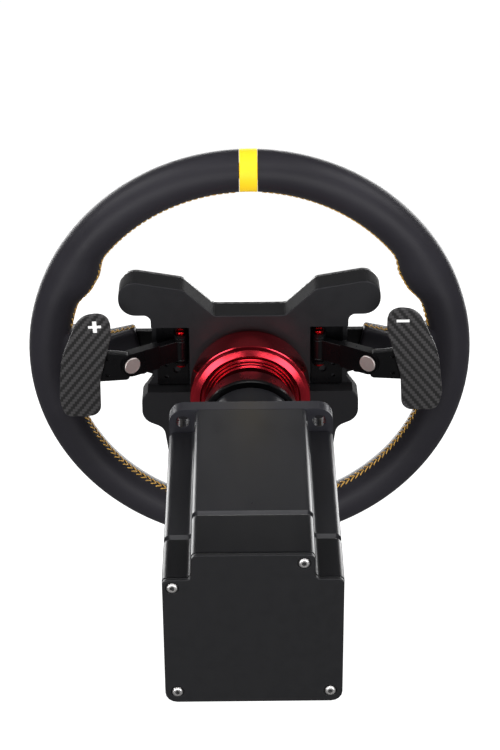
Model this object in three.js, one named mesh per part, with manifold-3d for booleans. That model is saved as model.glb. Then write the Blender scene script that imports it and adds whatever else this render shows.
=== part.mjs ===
// A direct-drive racing wheel: a square motor base whose shaft carries a round, leather-covered
// wheel with shift paddles, held by a red quick release.
// Millimetres, +Z up. The driver sits at -Y and looks along +Y, and the shaft runs along Y. The
// origin is on the shaft's axis, in the front face of the base's mounting flange.
import * as THREE from "three";
import { mergeVertices } from "three/addons/utils/BufferGeometryUtils.js";
import Module from "manifold-3d";

const wasm = await Module();
wasm.setup();

// ---------- Driving dimensions ----------
const GAP = 0.3; // between faces that touch on the real object
const BASE_HALF = 53; // half the motor's square section
const BASE_LENGTH = 174.2; // front flange face to rear cover face
const WHEEL_SETBACK = 160; // rim plane to front flange face

const FLANGE_THICKNESS = 10;
const FLANGE_HOLE_OFFSET = 44;
const FLANGE_HOLE_RADIUS = 4.3;
const NOTCH = 17; // corner notch, across and down
const EDGE_CHAMFER = 2.5;
const MOTOR_END = 130; // motor housing's rear face, from the flange face
const COVER_THICKNESS = 3;
const SHAFT_RADIUS = 12.5;
const SHAFT_TAIL_RADIUS = 8;
const STATOR_RADIUS = 46.7;
const STATOR_BORE = 33;
const NOSE_RADIUS = 31;
const NOSE_LENGTH = 57;
const NOSE_FLARE = 3; // the nose widens by this much where it passes through the flange
const BEARING_RADIUS = 26;
const REAR_BEARING_RADIUS = 16;

const RIM_RADIUS = 145; // centre of the grip's section
const GRIP_RADIUS = 15; // the grip's own section
const THUMB_BUMP = 5.2; // how far the thumb rests stand inwards
const THUMB_BUMP_ANGLE = THREE.MathUtils.degToRad(28.5);
const STRIPE_WIDTH = 12.5;
const CORE_RADIUS = 6; // the steel ring inside the grip
const FRAME_THICKNESS = 4;
const FRAME_HUB_RADIUS = 42; // the frame's round middle
const FRAME_DISH = 13.7; // spoke plate's middle behind the rim plane
const PANEL_FRONT = 16;
const PANEL_REAR = 18.7;
const HOUSING_FRONT = 19;
const HOUSING_REAR = 38;
const HOUSING_WALL = 2.5;
const BOLT_CIRCLE_RADIUS = 35;
const BOLT_COUNT = 6;
const BOLT_HOLE_RADIUS = 2.75;

const COLLAR_RADIUS = 42;
const COLLAR_FRONT = 44.5;
const COLLAR_REAR = 66.4;
const BARREL_RADIUS = 34.3; // the quick release's fixed red barrel
const SPIGOT_RADIUS = 25; // the shaft hub's nose, inside the barrel
const HUB_REAR = 101.7;

const RECESS = { inner: 42.5, low: -10.4, high: 41.8, depth: 12 };
const PIVOT = { x: 48.8, y: 33, low: 13.3, high: 32.5 };
const LEVER_SLOPE = THREE.MathUtils.degToRad(31);
const MAGNET = { x: 83.5, z: 22, radius: 6 };
const BLADE_FRONT = 58.3;
const BLADE_THICKNESS = 2.5;

const BUTTON_RADIUS = 6;
const BUTTONS = [
  // name, x, z of each push button on the right half; the left half mirrors them
  ["outer", 80, 64],
  ["upper", 62, 62],
  ["lower", 33, -62],
];
const KNOB = { x: 42, z: -43, radius: 9 };
const TOGGLE = { x: 41.5, z: 51 };

// ---------- Materials ----------
function material(color, roughness, metalness) {
  return new THREE.MeshStandardMaterial({ color, roughness, metalness });
}
const blackAnodised = material(0x1c1c1e, 0.5, 0.6);
const greyAnodised = material(0x34343a, 0.45, 0.7);
const redAnodised = material(0xb01020, 0.25, 0.9);
const leather = material(0x26262a, 0.7, 0);
const yellowLeather = material(0xf5b820, 0.6, 0);
const carbonFibre = material(0x2a2a2c, 0.35, 0.1);
const bareSteel = material(0xb5b0ad, 0.3, 1);
const blackPlastic = material(0x151516, 0.55, 0);
const copper = material(0xb36b3c, 0.4, 0.9);
const circuitBoard = material(0x1f4a33, 0.6, 0.1);
const buttonPlastic = material(0x8a1a22, 0.5, 0);

// ---------- Solids ----------
/** Turns a closed three.js geometry into a solid whose faces point outwards. */
function solid(geometry) {
  const bare = geometry.index ? geometry.toNonIndexed() : geometry.clone();
  bare.deleteAttribute("normal");
  bare.deleteAttribute("uv");
  const merged = mergeVertices(bare, 1e-3);
  const triVerts = new Uint32Array(merged.index.array);
  const vertProperties = merged.attributes.position.array;
  const made = new wasm.Manifold(new wasm.Mesh({ numProp: 3, vertProperties, triVerts }));
  if (made.volume() > 0) return made;
  for (let i = 0; i < triVerts.length; i += 3) {
    [triVerts[i + 1], triVerts[i + 2]] = [triVerts[i + 2], triVerts[i + 1]];
  }
  return new wasm.Manifold(new wasm.Mesh({ numProp: 3, vertProperties, triVerts }));
}

/** Turns a solid back into a three.js geometry. */
function geometryOf(made) {
  const mesh = made.getMesh();
  const position = new Float32Array(mesh.numVert * 3);
  for (let i = 0; i < mesh.numVert; i++) {
    position.set(mesh.vertProperties.subarray(i * mesh.numProp, i * mesh.numProp + 3), i * 3);
  }
  const geometry = new THREE.BufferGeometry();
  geometry.setAttribute("position", new THREE.BufferAttribute(position, 3));
  geometry.setIndex(new THREE.BufferAttribute(new Uint32Array(mesh.triVerts), 1));
  geometry.computeVertexNormals();
  return geometry;
}

/** A named mesh of a solid. */
function piece(name, made, finish) {
  const mesh = new THREE.Mesh(geometryOf(made), finish);
  mesh.name = name;
  return mesh;
}

/** A closed outline from [x, z, radius] corners, each rounded to its radius. */
function outline(corners) {
  const shape = new THREE.Path();
  const count = corners.length;
  const points = [];
  corners.forEach(([x, z, radius = 0], i) => {
    const corner = new THREE.Vector2(x, z);
    if (!radius) {
      points.push(corner);
      return;
    }
    const before = new THREE.Vector2(...corners[(i + count - 1) % count]).sub(corner).normalize();
    const after = new THREE.Vector2(...corners[(i + 1) % count]).sub(corner).normalize();
    const halfAngle = Math.acos(THREE.MathUtils.clamp(before.dot(after), -1, 1)) / 2;
    const reach = radius / Math.tan(halfAngle);
    const start = corner.clone().addScaledVector(before, reach);
    const end = corner.clone().addScaledVector(after, reach);
    const steps = Math.max(2, Math.ceil((Math.PI - 2 * halfAngle) / 0.5));
    const middle = before.clone().add(after).normalize();
    const centre = corner.clone().addScaledVector(middle, radius / Math.sin(halfAngle));
    const from = start.clone().sub(centre).angle();
    let sweep = end.clone().sub(centre).angle() - from;
    if (sweep > Math.PI) sweep -= 2 * Math.PI;
    if (sweep < -Math.PI) sweep += 2 * Math.PI;
    for (let k = 0; k <= steps; k++) {
      const angle = from + (sweep * k) / steps;
      points.push(new THREE.Vector2(Math.cos(angle), Math.sin(angle)).multiplyScalar(radius).add(centre));
    }
  });
  shape.setFromPoints(points);
  return new THREE.Shape(points);
}

/** The corners of an outline that is the same on both sides, from its right half. */
function mirrored(half) {
  return [...half, ...half.map(([x, z, radius]) => [-x, z, radius]).reverse()];
}

/** A shape drawn in X and Z, made into a plate between two stations along Y. */
function plateY(shape, front, rear) {
  const geometry = new THREE.ExtrudeGeometry(shape, { depth: rear - front, bevelEnabled: false, curveSegments: 10 });
  return solid(geometry.rotateX(Math.PI / 2).translate(0, rear, 0));
}

/** A shape drawn in X and Y, made into a plate between two heights. */
function plateZ(shape, low, high) {
  const geometry = new THREE.ExtrudeGeometry(shape, { depth: high - low, bevelEnabled: false, curveSegments: 10 });
  return solid(geometry.translate(0, 0, low));
}

/** A body turned about the Y axis from [radius, y] corners that close on themselves. */
function turned(profile, segments = 32) {
  const points = [...profile, profile[0]].map(([radius, y]) => new THREE.Vector2(radius, y));
  return solid(new THREE.LatheGeometry(points, segments));
}

/** A solid rod along Y. */
function rodY(radius, front, rear, segments = 24) {
  const geometry = new THREE.CylinderGeometry(radius, radius, rear - front, segments);
  return solid(geometry.translate(0, (front + rear) / 2, 0));
}

/** A box between two corners. */
function block([x0, y0, z0], [x1, y1, z1]) {
  const geometry = new THREE.BoxGeometry(x1 - x0, y1 - y0, z1 - z0);
  return solid(geometry.translate((x0 + x1) / 2, (y0 + y1) / 2, (z0 + z1) / 2));
}

/** Joins several solids. */
function joined(...solids) {
  return solids.reduce((all, one) => all.add(one));
}

/** Places a list of [x, z] points on a circle about the shaft. */
function circleOf(count, radius, startAngle = 0) {
  return Array.from({ length: count }, (_, i) => {
    const angle = startAngle + (2 * Math.PI * i) / count;
    return [radius * Math.cos(angle), radius * Math.sin(angle)];
  });
}

// ---------- Motor base: y = 0 at the front flange face ----------
/** The motor's section: a square with a notch at each of the stated corners. */
function baseSection(half, notchedBelow) {
  const c = EDGE_CHAMFER;
  const step = half - NOTCH;
  const top = [
    [step, half, c],
    [step, step, 3],
    [half, step, c],
  ];
  const bottom = notchedBelow
    ? [
        [half, -step, c],
        [step, -step, 3],
        [step, -half, c],
      ]
    : [[half, -half, 7]];
  return outline(mirrored([...top, ...bottom]));
}

const SCREWS = [
  // x, z of the rear cover's screws
  [47, 30.3],
  [-29.4, 47],
  [45.5, -45],
  [-45.5, -45],
];
const SOCKET_Y = 151; // where the sockets sit in the right-hand wall
const SOCKETS = { power: 14, usb: -6, pedal: -27 };
const SOCKET_DEPTH = 12;

function frontFlange() {
  const shape = outline(mirrored([[BASE_HALF, BASE_HALF, 10], [BASE_HALF, -BASE_HALF, 10]]));
  const seat = rodY(NOSE_RADIUS + NOSE_FLARE + GAP, -1, FLANGE_THICKNESS + 1, 32);
  let made = plateY(shape, 0, FLANGE_THICKNESS).subtract(seat);
  for (const x of [-FLANGE_HOLE_OFFSET, FLANGE_HOLE_OFFSET]) {
    for (const z of [-FLANGE_HOLE_OFFSET, FLANGE_HOLE_OFFSET]) {
      made = made.subtract(rodY(FLANGE_HOLE_RADIUS, -1, FLANGE_THICKNESS + 1, 16).translate(x, 0, z));
    }
  }
  return piece("front_flange", made, greyAnodised);
}

function noseHousing() {
  const r = NOSE_RADIUS;
  const profile = [
    [14, -NOSE_LENGTH],
    [r - 1, -NOSE_LENGTH],
    [r, -NOSE_LENGTH + 1],
    [r, -6],
    [r + NOSE_FLARE, -GAP],
    [r + NOSE_FLARE, FLANGE_THICKNESS + GAP],
    [r + 9, FLANGE_THICKNESS + GAP],
    [r + 9, FLANGE_THICKNESS + 4],
    [BEARING_RADIUS + GAP, FLANGE_THICKNESS + 4],
    [BEARING_RADIUS + GAP, -NOSE_LENGTH + 5],
    [14, -NOSE_LENGTH + 5],
  ];
  return piece("nose_housing", turned(profile), greyAnodised);
}

function motorHousing() {
  const front = FLANGE_THICKNESS + GAP;
  const wall = MOTOR_END - 9; // the rear wall that holds the rear bearing
  const made = plateY(baseSection(BASE_HALF, true), front, MOTOR_END)
    .subtract(rodY(STATOR_RADIUS + GAP, front - 1, wall, 36))
    .subtract(rodY(REAR_BEARING_RADIUS + GAP, wall - 1, MOTOR_END + 1, 32));
  return piece("motor_housing", made, greyAnodised);
}

function stator() {
  const slots = 12;
  const front = 30;
  const rear = 108;
  let core = rodY(STATOR_RADIUS, front, rear, 36).subtract(rodY(STATOR_BORE, front - 1, rear + 1, 36));
  let winding = joined(
    turned([[35, front - 11], [44, front - 11], [44, front - GAP], [35, front - GAP]], 24),
    turned([[35, rear + GAP], [44, rear + GAP], [44, rear + 9], [35, rear + 9]], 24),
  );
  for (let i = 0; i < slots; i++) {
    const turn = (360 * i) / slots;
    core = core.subtract(block([-3.3, front - 1, 35.7], [3.3, rear + 1, 42.3]).rotate([0, turn, 0]));
    winding = winding.add(block([-3, front - 1, 36], [3, rear + 1, 42]).rotate([0, turn, 0]));
  }
  return [piece("stator_core", core, bareSteel), piece("stator_winding", winding, copper)];
}

function bearing(name, bore, radius, front, rear) {
  const groove = (rear - front) / 5;
  const middle = (bore + radius) / 2;
  const profile = [
    [bore, front],
    [middle - 2, front],
    [middle - 2, front + groove],
    [middle + 2, front + groove],
    [middle + 2, front],
    [radius, front],
    [radius, rear],
    [middle + 2, rear],
    [middle + 2, rear - groove],
    [middle - 2, rear - groove],
    [middle - 2, rear],
    [bore, rear],
  ];
  return piece(name, turned(profile, 24), bareSteel);
}

const CONTROLLER_FRONT = MOTOR_END + GAP;
const CONTROLLER_REAR = BASE_LENGTH - COVER_THICKNESS - GAP;

function controllerHousing() {
  const wall = 3;
  const inner = BASE_HALF - wall;
  const step = BASE_HALF - NOTCH - wall;
  const cavity = outline(mirrored([[step, inner, 2], [step, step, 2], [inner, step, 2], [inner, -inner, 5]]));
  let made = plateY(baseSection(BASE_HALF, false), CONTROLLER_FRONT, CONTROLLER_REAR)
    .subtract(plateY(cavity, CONTROLLER_FRONT - 1, CONTROLLER_REAR + 1));
  for (const [x, z] of SCREWS) {
    const boss = rodY(5.4, CONTROLLER_REAR - 12, CONTROLLER_REAR, 16).translate(x, 0, z);
    made = made.add(boss.intersect(plateY(baseSection(BASE_HALF, false), CONTROLLER_FRONT, CONTROLLER_REAR)));
    made = made.subtract(rodY(1.7, CONTROLLER_REAR - 9, CONTROLLER_REAR + 1, 12).translate(x, 0, z));
  }
  for (const z of Object.values(SOCKETS)) {
    made = made.subtract(block([inner - 1, SOCKET_Y - 8, z - 8], [BASE_HALF + 1, SOCKET_Y + 8, z + 8]));
  }
  return piece("controller_housing", made, greyAnodised);
}

function controllerBoard() {
  const y = MOTOR_END + 9;
  const parts = joined(
    block([-46, y, -46], [34, y + 1.6, 29]),
    block([-4, y - 1.5, -4], [4, y + 0.1, 4]),
    block([-30, y + 1.5, -20], [-10, y + 5, 0]),
    block([2, y + 1.5, -35], [14, y + 9, -15]),
    block([-38, y + 1.5, -40], [-12, y + 13, -30]),
  );
  return piece("controller_board", parts, circuitBoard);
}

function rearCover() {
  let made = plateY(baseSection(BASE_HALF - 0.2, false), BASE_LENGTH - COVER_THICKNESS, BASE_LENGTH);
  for (const [x, z] of SCREWS) {
    made = made
      .subtract(rodY(1.8, 160, BASE_LENGTH + 1, 12).translate(x, 0, z))
      .subtract(rodY(3.7, BASE_LENGTH - 1.9, BASE_LENGTH + 1, 16).translate(x, 0, z));
  }
  return piece("rear_cover", made, blackAnodised);
}

function coverScrews() {
  const head = BASE_LENGTH - 1.6;
  const top = BASE_LENGTH + 0.8;
  const profile = [[0, head - 10], [1.45, head - 10], [1.45, head], [3.4, head], [3.4, top - 0.6], [2.8, top], [0, top]];
  return SCREWS.map(([x, z], i) => {
    const mesh = piece(`cover_screw_${i + 1}`, turned(profile, 12), bareSteel);
    mesh.position.set(x, 0, z);
    return mesh;
  });
}

/** A socket body set in the right-hand wall, its mouth at x = 0 and facing +X. */
function socket(name, z, mouth) {
  const body = block([-SOCKET_DEPTH, -7.7, -7.7], [0, 7.7, 7.7]).subtract(mouth);
  const mesh = piece(name, body, blackPlastic);
  mesh.position.set(BASE_HALF - 0.4, SOCKET_Y, z);
  return mesh;
}

function sockets() {
  const depth = SOCKET_DEPTH - 2;
  const round = solid(new THREE.CylinderGeometry(5.6, 5.6, depth + 1, 20).rotateZ(Math.PI / 2)).translate((1 - depth) / 2, 0, 0);
  return [
    socket("power_socket", SOCKETS.power, round),
    socket("usb_socket", SOCKETS.usb, block([-depth, -4.6, -4.2], [1, 4.6, 4.2])),
    socket("pedal_socket", SOCKETS.pedal, block([-depth, -6, -3.5], [1, 6, 3.5])),
  ];
}

// ---------- Shaft: the same stations as the base ----------
function motorShaft() {
  const r = SHAFT_RADIUS;
  const t = SHAFT_TAIL_RADIUS;
  const end = MOTOR_END + 4;
  const profile = [[0, -108], [r - 1, -108], [r, -107], [r, 112], [t, 112], [t, end], [0, end]];
  return piece("motor_shaft", turned(profile, 32), bareSteel);
}

function rotorCore() {
  const r = STATOR_BORE - 0.7;
  const b = SHAFT_RADIUS + GAP;
  return piece("rotor_core", turned([[b, 30], [r, 30], [r, 108], [b, 108]]), bareSteel);
}

/** The magnet on the shaft's tail that the controller board's sensor reads. */
function encoderMagnet() {
  const front = MOTOR_END + 4 + GAP;
  return piece("encoder_magnet", rodY(5, front, front + 2.2, 24), bareSteel);
}

/** The half of the quick release on the shaft: a spigot with a ball groove, and a black disc. */
function quickReleaseHub() {
  const at = (station) => station - WHEEL_SETBACK;
  const b = SHAFT_RADIUS + GAP;
  const s = SPIGOT_RADIUS;
  const profile = [
    [b, at(50)],
    [s - 2, at(50)],
    [s, at(52)],
    [s, at(56)],
    [s - 1.5, at(57.5)],
    [s - 1.5, at(60.5)],
    [s, at(62)],
    [s, at(78)],
    [29, at(80)],
    [29, at(83.6)],
    [32.5, at(83.6)],
    [34.3, at(99)],
    [34.3, at(HUB_REAR)],
    [b, at(HUB_REAR)],
  ];
  return piece("quick_release_hub", turned(profile), blackAnodised);
}

// ---------- Wheel: y = 0 in the rim's plane ----------
/** Moves the inner side of a ring's grip inwards at the two thumb rests. */
function withThumbRests(geometry) {
  const position = geometry.attributes.position;
  const point = new THREE.Vector3();
  for (let i = 0; i < position.count; i++) {
    point.fromBufferAttribute(position, i);
    const radius = Math.hypot(point.x, point.z);
    const away = Math.abs(Math.atan2(point.z, Math.abs(point.x)) - THUMB_BUMP_ANGLE);
    const rise = THREE.MathUtils.smoothstep(THREE.MathUtils.degToRad(10) - away, 0, THREE.MathUtils.degToRad(8));
    const inward = THREE.MathUtils.clamp((RIM_RADIUS + GRIP_RADIUS - radius) / (2 * GRIP_RADIUS), 0, 1);
    const scale = (radius - rise * inward * THUMB_BUMP) / radius;
    position.setXYZ(i, point.x * scale, point.y, point.z * scale);
  }
  return geometry;
}

/** The space the steel ring takes inside the grip. */
function coreSpace() {
  return solid(ringTorus(CORE_RADIUS + GAP, 6, 48));
}

/** A ring lying in the rim's plane. */
function ringTorus(section, sides, steps) {
  return new THREE.TorusGeometry(RIM_RADIUS, section, sides, steps).rotateX(Math.PI / 2);
}

/** The plan of a dished spoke pair or a single spoke: [across, y] of its middle line, thickened. */
function dishedStrip(halfThickness, reach, width) {
  const t = halfThickness;
  const dish = FRAME_DISH;
  const corners = mirrored([
    [58, dish - t],
    [112, -t],
    [reach, -t],
    [reach, t],
    [112 + t / 2, t],
    [58 + t / 2, dish + t],
  ]);
  return plateZ(new THREE.Shape(corners.map(([x, y]) => new THREE.Vector2(x, y))), -width / 2, width / 2);
}

const SIDE_SPOKES = mirrored([
  [30, 31, 6],
  [62, 27, 20],
  [84, 24, 8],
  [104, 14.5, 12],
  [141, 17, 0],
  [141, -14, 0],
  [104, -7.5, 12],
  [84, -6.5, 8],
  [62, -11, 14],
  [30, -31, 6],
]);
const LOWER_SPOKE = [
  [24, 20, 0],
  [24, -50, 16],
  [17, -80, 30],
  [22, -141, 0],
  [-22, -141, 0],
  [-17, -80, 30],
  [-24, -50, 16],
  [-24, 20, 0],
];

/** Both side spokes and the lower one, all dished, `slack` larger all round. */
function spokeSolid(slack) {
  const t = FRAME_THICKNESS / 2 + slack;
  const grow = (corners) => corners.map(([x, z, radius]) => [x, z + Math.sign(z) * slack, radius]);
  const widen = (corners) => corners.map(([x, z, radius]) => [x + Math.sign(x) * slack, z, radius]);
  const reach = RIM_RADIUS - CORE_RADIUS - GAP + slack;
  const sides = dishedStrip(t, reach, 80).intersect(plateY(outline(grow(SIDE_SPOKES)), -30, 40));
  const lower = dishedStrip(t, reach, 80).rotate([0, 90, 0]).intersect(plateY(outline(widen(LOWER_SPOKE)), -30, 40));
  return sides.add(lower);
}

function spokeFrame() {
  const front = FRAME_DISH - FRAME_THICKNESS / 2;
  let made = spokeSolid(0).add(rodY(FRAME_HUB_RADIUS, front, front + FRAME_THICKNESS, 32));
  for (const [x, z] of circleOf(BOLT_COUNT, BOLT_CIRCLE_RADIUS, Math.PI / 6)) {
    made = made.subtract(rodY(BOLT_HOLE_RADIUS, 0, 40, 12).translate(x, 0, z));
  }
  made = made.subtract(rodY(15.3, 0, 40, 24)).subtract(coreSpace());
  for (const x of [-72, 72]) {
    const window = outline([[x - 9, 10, 4], [x + 9, 10, 4], [x + 9, 0, 4], [x - 9, 0, 4]]);
    made = made.subtract(plateY(window, -20, 40));
  }
  return piece("spoke_frame", made, blackAnodised);
}

function rimCore() {
  return piece("rim_core_ring", solid(ringTorus(CORE_RADIUS, 6, 48)), bareSteel);
}

/** The leather that runs from the grip onto a spoke, thick at the grip and thin at the cuff. */
function spokeCuff(cuffEnd, corners) {
  const plan = outline([
    [cuffEnd, FRAME_DISH - 4.5 - (cuffEnd - 58) * 0.25, 2],
    [118, -11, 6],
    [138, -11, 0],
    [138, 11, 0],
    [118, 11, 6],
    [cuffEnd, FRAME_DISH + 4.5 - (cuffEnd - 58) * 0.25, 2],
  ]);
  return plateZ(plan, -60, 60).intersect(plateY(outline(corners), -40, 40));
}

function grip() {
  const cuffCorners = [[82, 27.5, 2], [104, 18.5, 12], [139, 22, 0], [139, -19, 0], [104, -11, 12], [74, -9.5, 2]];
  const lowerCuffCorners = [[92, 19, 2], [110, 19, 12], [139, 30, 0], [139, -30, 0], [110, -19, 12], [92, -19, 2]];
  const right = spokeCuff(70, cuffCorners);
  const left = right.mirror([1, 0, 0]);
  const lower = spokeCuff(92, lowerCuffCorners).rotate([0, 90, 0]);
  const leatherBody = joined(solid(withThumbRests(ringTorus(GRIP_RADIUS, 12, 60))), left, right, lower)
    .subtract(coreSpace())
    .subtract(spokeSolid(GAP));
  const half = STRIPE_WIDTH / 2;
  const band = block([-half, -30, 100], [half, 30, 200]);
  const bandSlot = block([-half - GAP, -30, 100], [half + GAP, 30, 200]);
  return [
    piece("rim_grip", leatherBody.subtract(bandSlot), leather),
    piece("centre_stripe", leatherBody.intersect(band), yellowLeather),
  ];
}

const HOUSING_HALF = [
  [25, 51, 5],
  [46.5, 71.5, 8],
  [91.5, 79.5, 12],
  [91.5, 51.3, 12],
  [69.3, 51.3, 5],
  [69.3, -5, 4],
  [77.3, -16, 6],
  [77.5, -33, 11],
  [62, -40, 9],
  [59, -62, 12],
  [46, -78, 12],
];

function boltHoles(made, front, rear) {
  return circleOf(BOLT_COUNT, BOLT_CIRCLE_RADIUS, Math.PI / 6).reduce(
    (all, [x, z]) => all.subtract(rodY(BOLT_HOLE_RADIUS, front, rear, 12).translate(x, 0, z)),
    made,
  );
}

/** The [from, to] span along X of each side's recess, `grow` larger. */
function recessSpans(grow) {
  return [
    [RECESS.inner - grow, 80 + grow],
    [-80 - grow, -RECESS.inner + grow],
  ];
}

function wheelHousing() {
  const wall = HOUSING_WALL;
  const recessFloor = HOUSING_REAR - RECESS.depth;
  const shape = outline(mirrored(HOUSING_HALF));
  const inner = new THREE.Shape(insetPoints(shape.getPoints(), wall));
  let cavity = plateY(inner, HOUSING_FRONT - 1, HOUSING_REAR - wall).subtract(rodY(41, 0, 60, 32));
  for (const [from, to] of recessSpans(wall)) {
    cavity = cavity.subtract(block([from, recessFloor - wall, RECESS.low - wall], [to, 60, RECESS.high + wall]));
  }
  let made = plateY(shape, HOUSING_FRONT, HOUSING_REAR).subtract(cavity);
  for (const [from, to] of recessSpans(0)) {
    made = made.subtract(block([from, recessFloor, RECESS.low], [to, 60, RECESS.high]));
  }
  made = boltHoles(made, 0, 60).subtract(rodY(10, 0, 60, 24));
  return piece("wheel_housing", made, blackAnodised);
}

/** A closed outline drawn in by `inset`, corner by corner along the mean of its two edges' normals. */
function insetPoints(points, inset) {
  const closed = points[0].distanceTo(points[points.length - 1]) < 1e-6 ? points.slice(0, -1) : points;
  const count = closed.length;
  const turn = THREE.ShapeUtils.isClockWise(closed) ? 1 : -1;
  return closed.map((point, i) => {
    const before = closed[(i + count - 1) % count];
    const after = closed[(i + 1) % count];
    const a = point.clone().sub(before).normalize();
    const b = after.clone().sub(point).normalize();
    const normal = new THREE.Vector2(a.y + b.y, -a.x - b.x).normalize();
    const reach = inset / Math.max(0.5, Math.sqrt((1 + a.dot(b)) / 2));
    return point.clone().addScaledVector(normal, turn * reach);
  });
}

/** Every place on both halves of the panel where a push button sits. */
function buttonPlaces() {
  return BUTTONS.flatMap(([name, x, z]) => [
    [`${name}_button_right`, x, z],
    [`${name}_button_left`, -x, z],
  ]);
}

function frontPanel() {
  const shape = new THREE.Shape(insetPoints(outline(mirrored(HOUSING_HALF)).getPoints(), 0.5));
  let made = boltHoles(plateY(shape, PANEL_FRONT, PANEL_REAR), 0, 60).subtract(rodY(10, 0, 60, 24));
  for (const [, x, z] of buttonPlaces()) {
    made = made.subtract(rodY(BUTTON_RADIUS + GAP, 0, 60, 16).translate(x, 0, z));
  }
  for (const side of [-1, 1]) {
    made = made
      .subtract(rodY(3.3, 0, 60, 16).translate(side * KNOB.x, 0, KNOB.z))
      .subtract(rodY(4, 0, 60, 16).translate(side * TOGGLE.x, 0, TOGGLE.z));
  }
  return piece("front_panel", made, carbonFibre);
}

/** The circuit boards behind the panel, above and below the hub; they carry the switches. */
function buttonBoards() {
  const inset = HOUSING_WALL + 0.8;
  const shape = new THREE.Shape(insetPoints(outline(mirrored(HOUSING_HALF)).getPoints(), inset));
  let made = plateY(shape, 26, 27.6).subtract(rodY(41.5, 0, 60, 32));
  for (const [from, to] of recessSpans(inset)) {
    made = made.subtract(block([from, 0, RECESS.low - inset], [to, 60, RECESS.high + inset]));
  }
  for (const [, x, z] of buttonPlaces()) {
    made = made.add(block([x - 3, 24, z - 3], [x + 3, 26.5, z + 3]));
  }
  return [
    piece("button_board_upper", made.intersect(block([-100, 0, 0], [100, 60, 100])), circuitBoard),
    piece("button_board_lower", made.intersect(block([-100, 0, -100], [100, 60, 0])), circuitBoard),
  ];
}

function hubBolts() {
  const head = FRAME_DISH - FRAME_THICKNESS / 2 - GAP;
  const r = BOLT_HOLE_RADIUS - 0.35;
  const profile = [[0, head - 2.6], [3, head - 2.6], [4.6, head - 0.9], [4.6, head], [r, head], [r, 42.6], [0, 42.6]];
  return circleOf(BOLT_COUNT, BOLT_CIRCLE_RADIUS, Math.PI / 6).map(([x, z], i) => {
    const mesh = piece(`hub_bolt_${i + 1}`, turned(profile, 12), bareSteel);
    mesh.position.set(x, 0, z);
    return mesh;
  });
}

function centreCap() {
  const face = FRAME_DISH - FRAME_THICKNESS / 2 - GAP;
  const profile = [[0, face - 4], [22, face - 4], [24, face - 2], [24, face], [15, face], [15, face + 4], [0, face + 4]];
  return piece("centre_cap", turned(profile), blackAnodised);
}

function quickReleaseBody() {
  const b = SPIGOT_RADIUS + GAP;
  const front = HOUSING_REAR + GAP;
  const profile = [
    [b, front],
    [39.5, front],
    [39.5, front + 5.5],
    [BARREL_RADIUS, front + 5.5],
    [BARREL_RADIUS, 67.6],
    [29.5, 70.2],
    [27.2, 71.8],
    [b, 71.8],
  ];
  return piece("quick_release_body", boltHoles(turned(profile), 0, front + 4.8), redAnodised);
}

function quickReleaseCollar() {
  const lip = BARREL_RADIUS + 0.4;
  const profile = [
    [39.9, COLLAR_FRONT],
    [COLLAR_RADIUS, COLLAR_FRONT],
    [COLLAR_RADIUS, COLLAR_REAR - 0.5],
    [COLLAR_RADIUS - 0.5, COLLAR_REAR],
    [38.9, COLLAR_REAR],
    [lip, COLLAR_REAR + 1.8],
    [lip, 60],
    [39.9, 57],
  ];
  return piece("quick_release_collar", turned(profile), redAnodised);
}

// ---------- Paddles: drawn for the right side, in the wheel's frame ----------
/** Mirrors a right-hand solid for the left side. */
function onSide(made, side) {
  return side > 0 ? made : made.mirror([1, 0, 0]);
}

/** A solid rod along Z at an x, y place. */
function rodZ(radius, low, high, x, y, segments = 20) {
  const geometry = new THREE.CylinderGeometry(radius, radius, high - low, segments).rotateX(Math.PI / 2);
  return solid(geometry.translate(x, y, (low + high) / 2));
}

function paddleBracket(sideName, side) {
  const floor = HOUSING_REAR - RECESS.depth + GAP;
  const ear = (low, high) => {
    const { x, y } = PIVOT;
    const shape = outline([[x - 4.9, floor + 1, 0], [x - 4.9, y + 4.9, 4.8], [x + 4.9, y + 4.9, 4.8], [x + 4.9, floor + 1, 0]]);
    return plateZ(shape, low, high);
  };
  let made = joined(
    block([PIVOT.x - 4.9, floor, RECESS.low + 1], [66, floor + 1.7, RECESS.high - 1]),
    ear(PIVOT.high + GAP, PIVOT.high + 2.3),
    ear(PIVOT.low - 2.3, PIVOT.low - GAP),
  ).subtract(rodZ(2.5, 0, 60, PIVOT.x, PIVOT.y));
  const holes = [
    [52, 2.4, 2.6],
    [59.5, 6.5, 1.5],
    [59.5, -3, 1.5],
  ];
  for (const [x, z, radius] of holes) {
    made = made.subtract(rodY(radius, 0, 60, 12).translate(x, 0, z));
  }
  return piece(`paddle_bracket_${sideName}`, onSide(made, side), blackAnodised);
}

function pivotPin(sideName, side) {
  const { x, y, low, high } = PIVOT;
  const made = joined(
    rodZ(2.2, low - 4, high + 4, x, y, 12),
    rodZ(3.6, high + 2.6, high + 4.6, x, y, 16),
    rodZ(3.6, low - 4.6, low - 2.6, x, y, 16),
  );
  return piece(`pivot_pin_${sideName}`, onSide(made, side), redAnodised);
}

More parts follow.
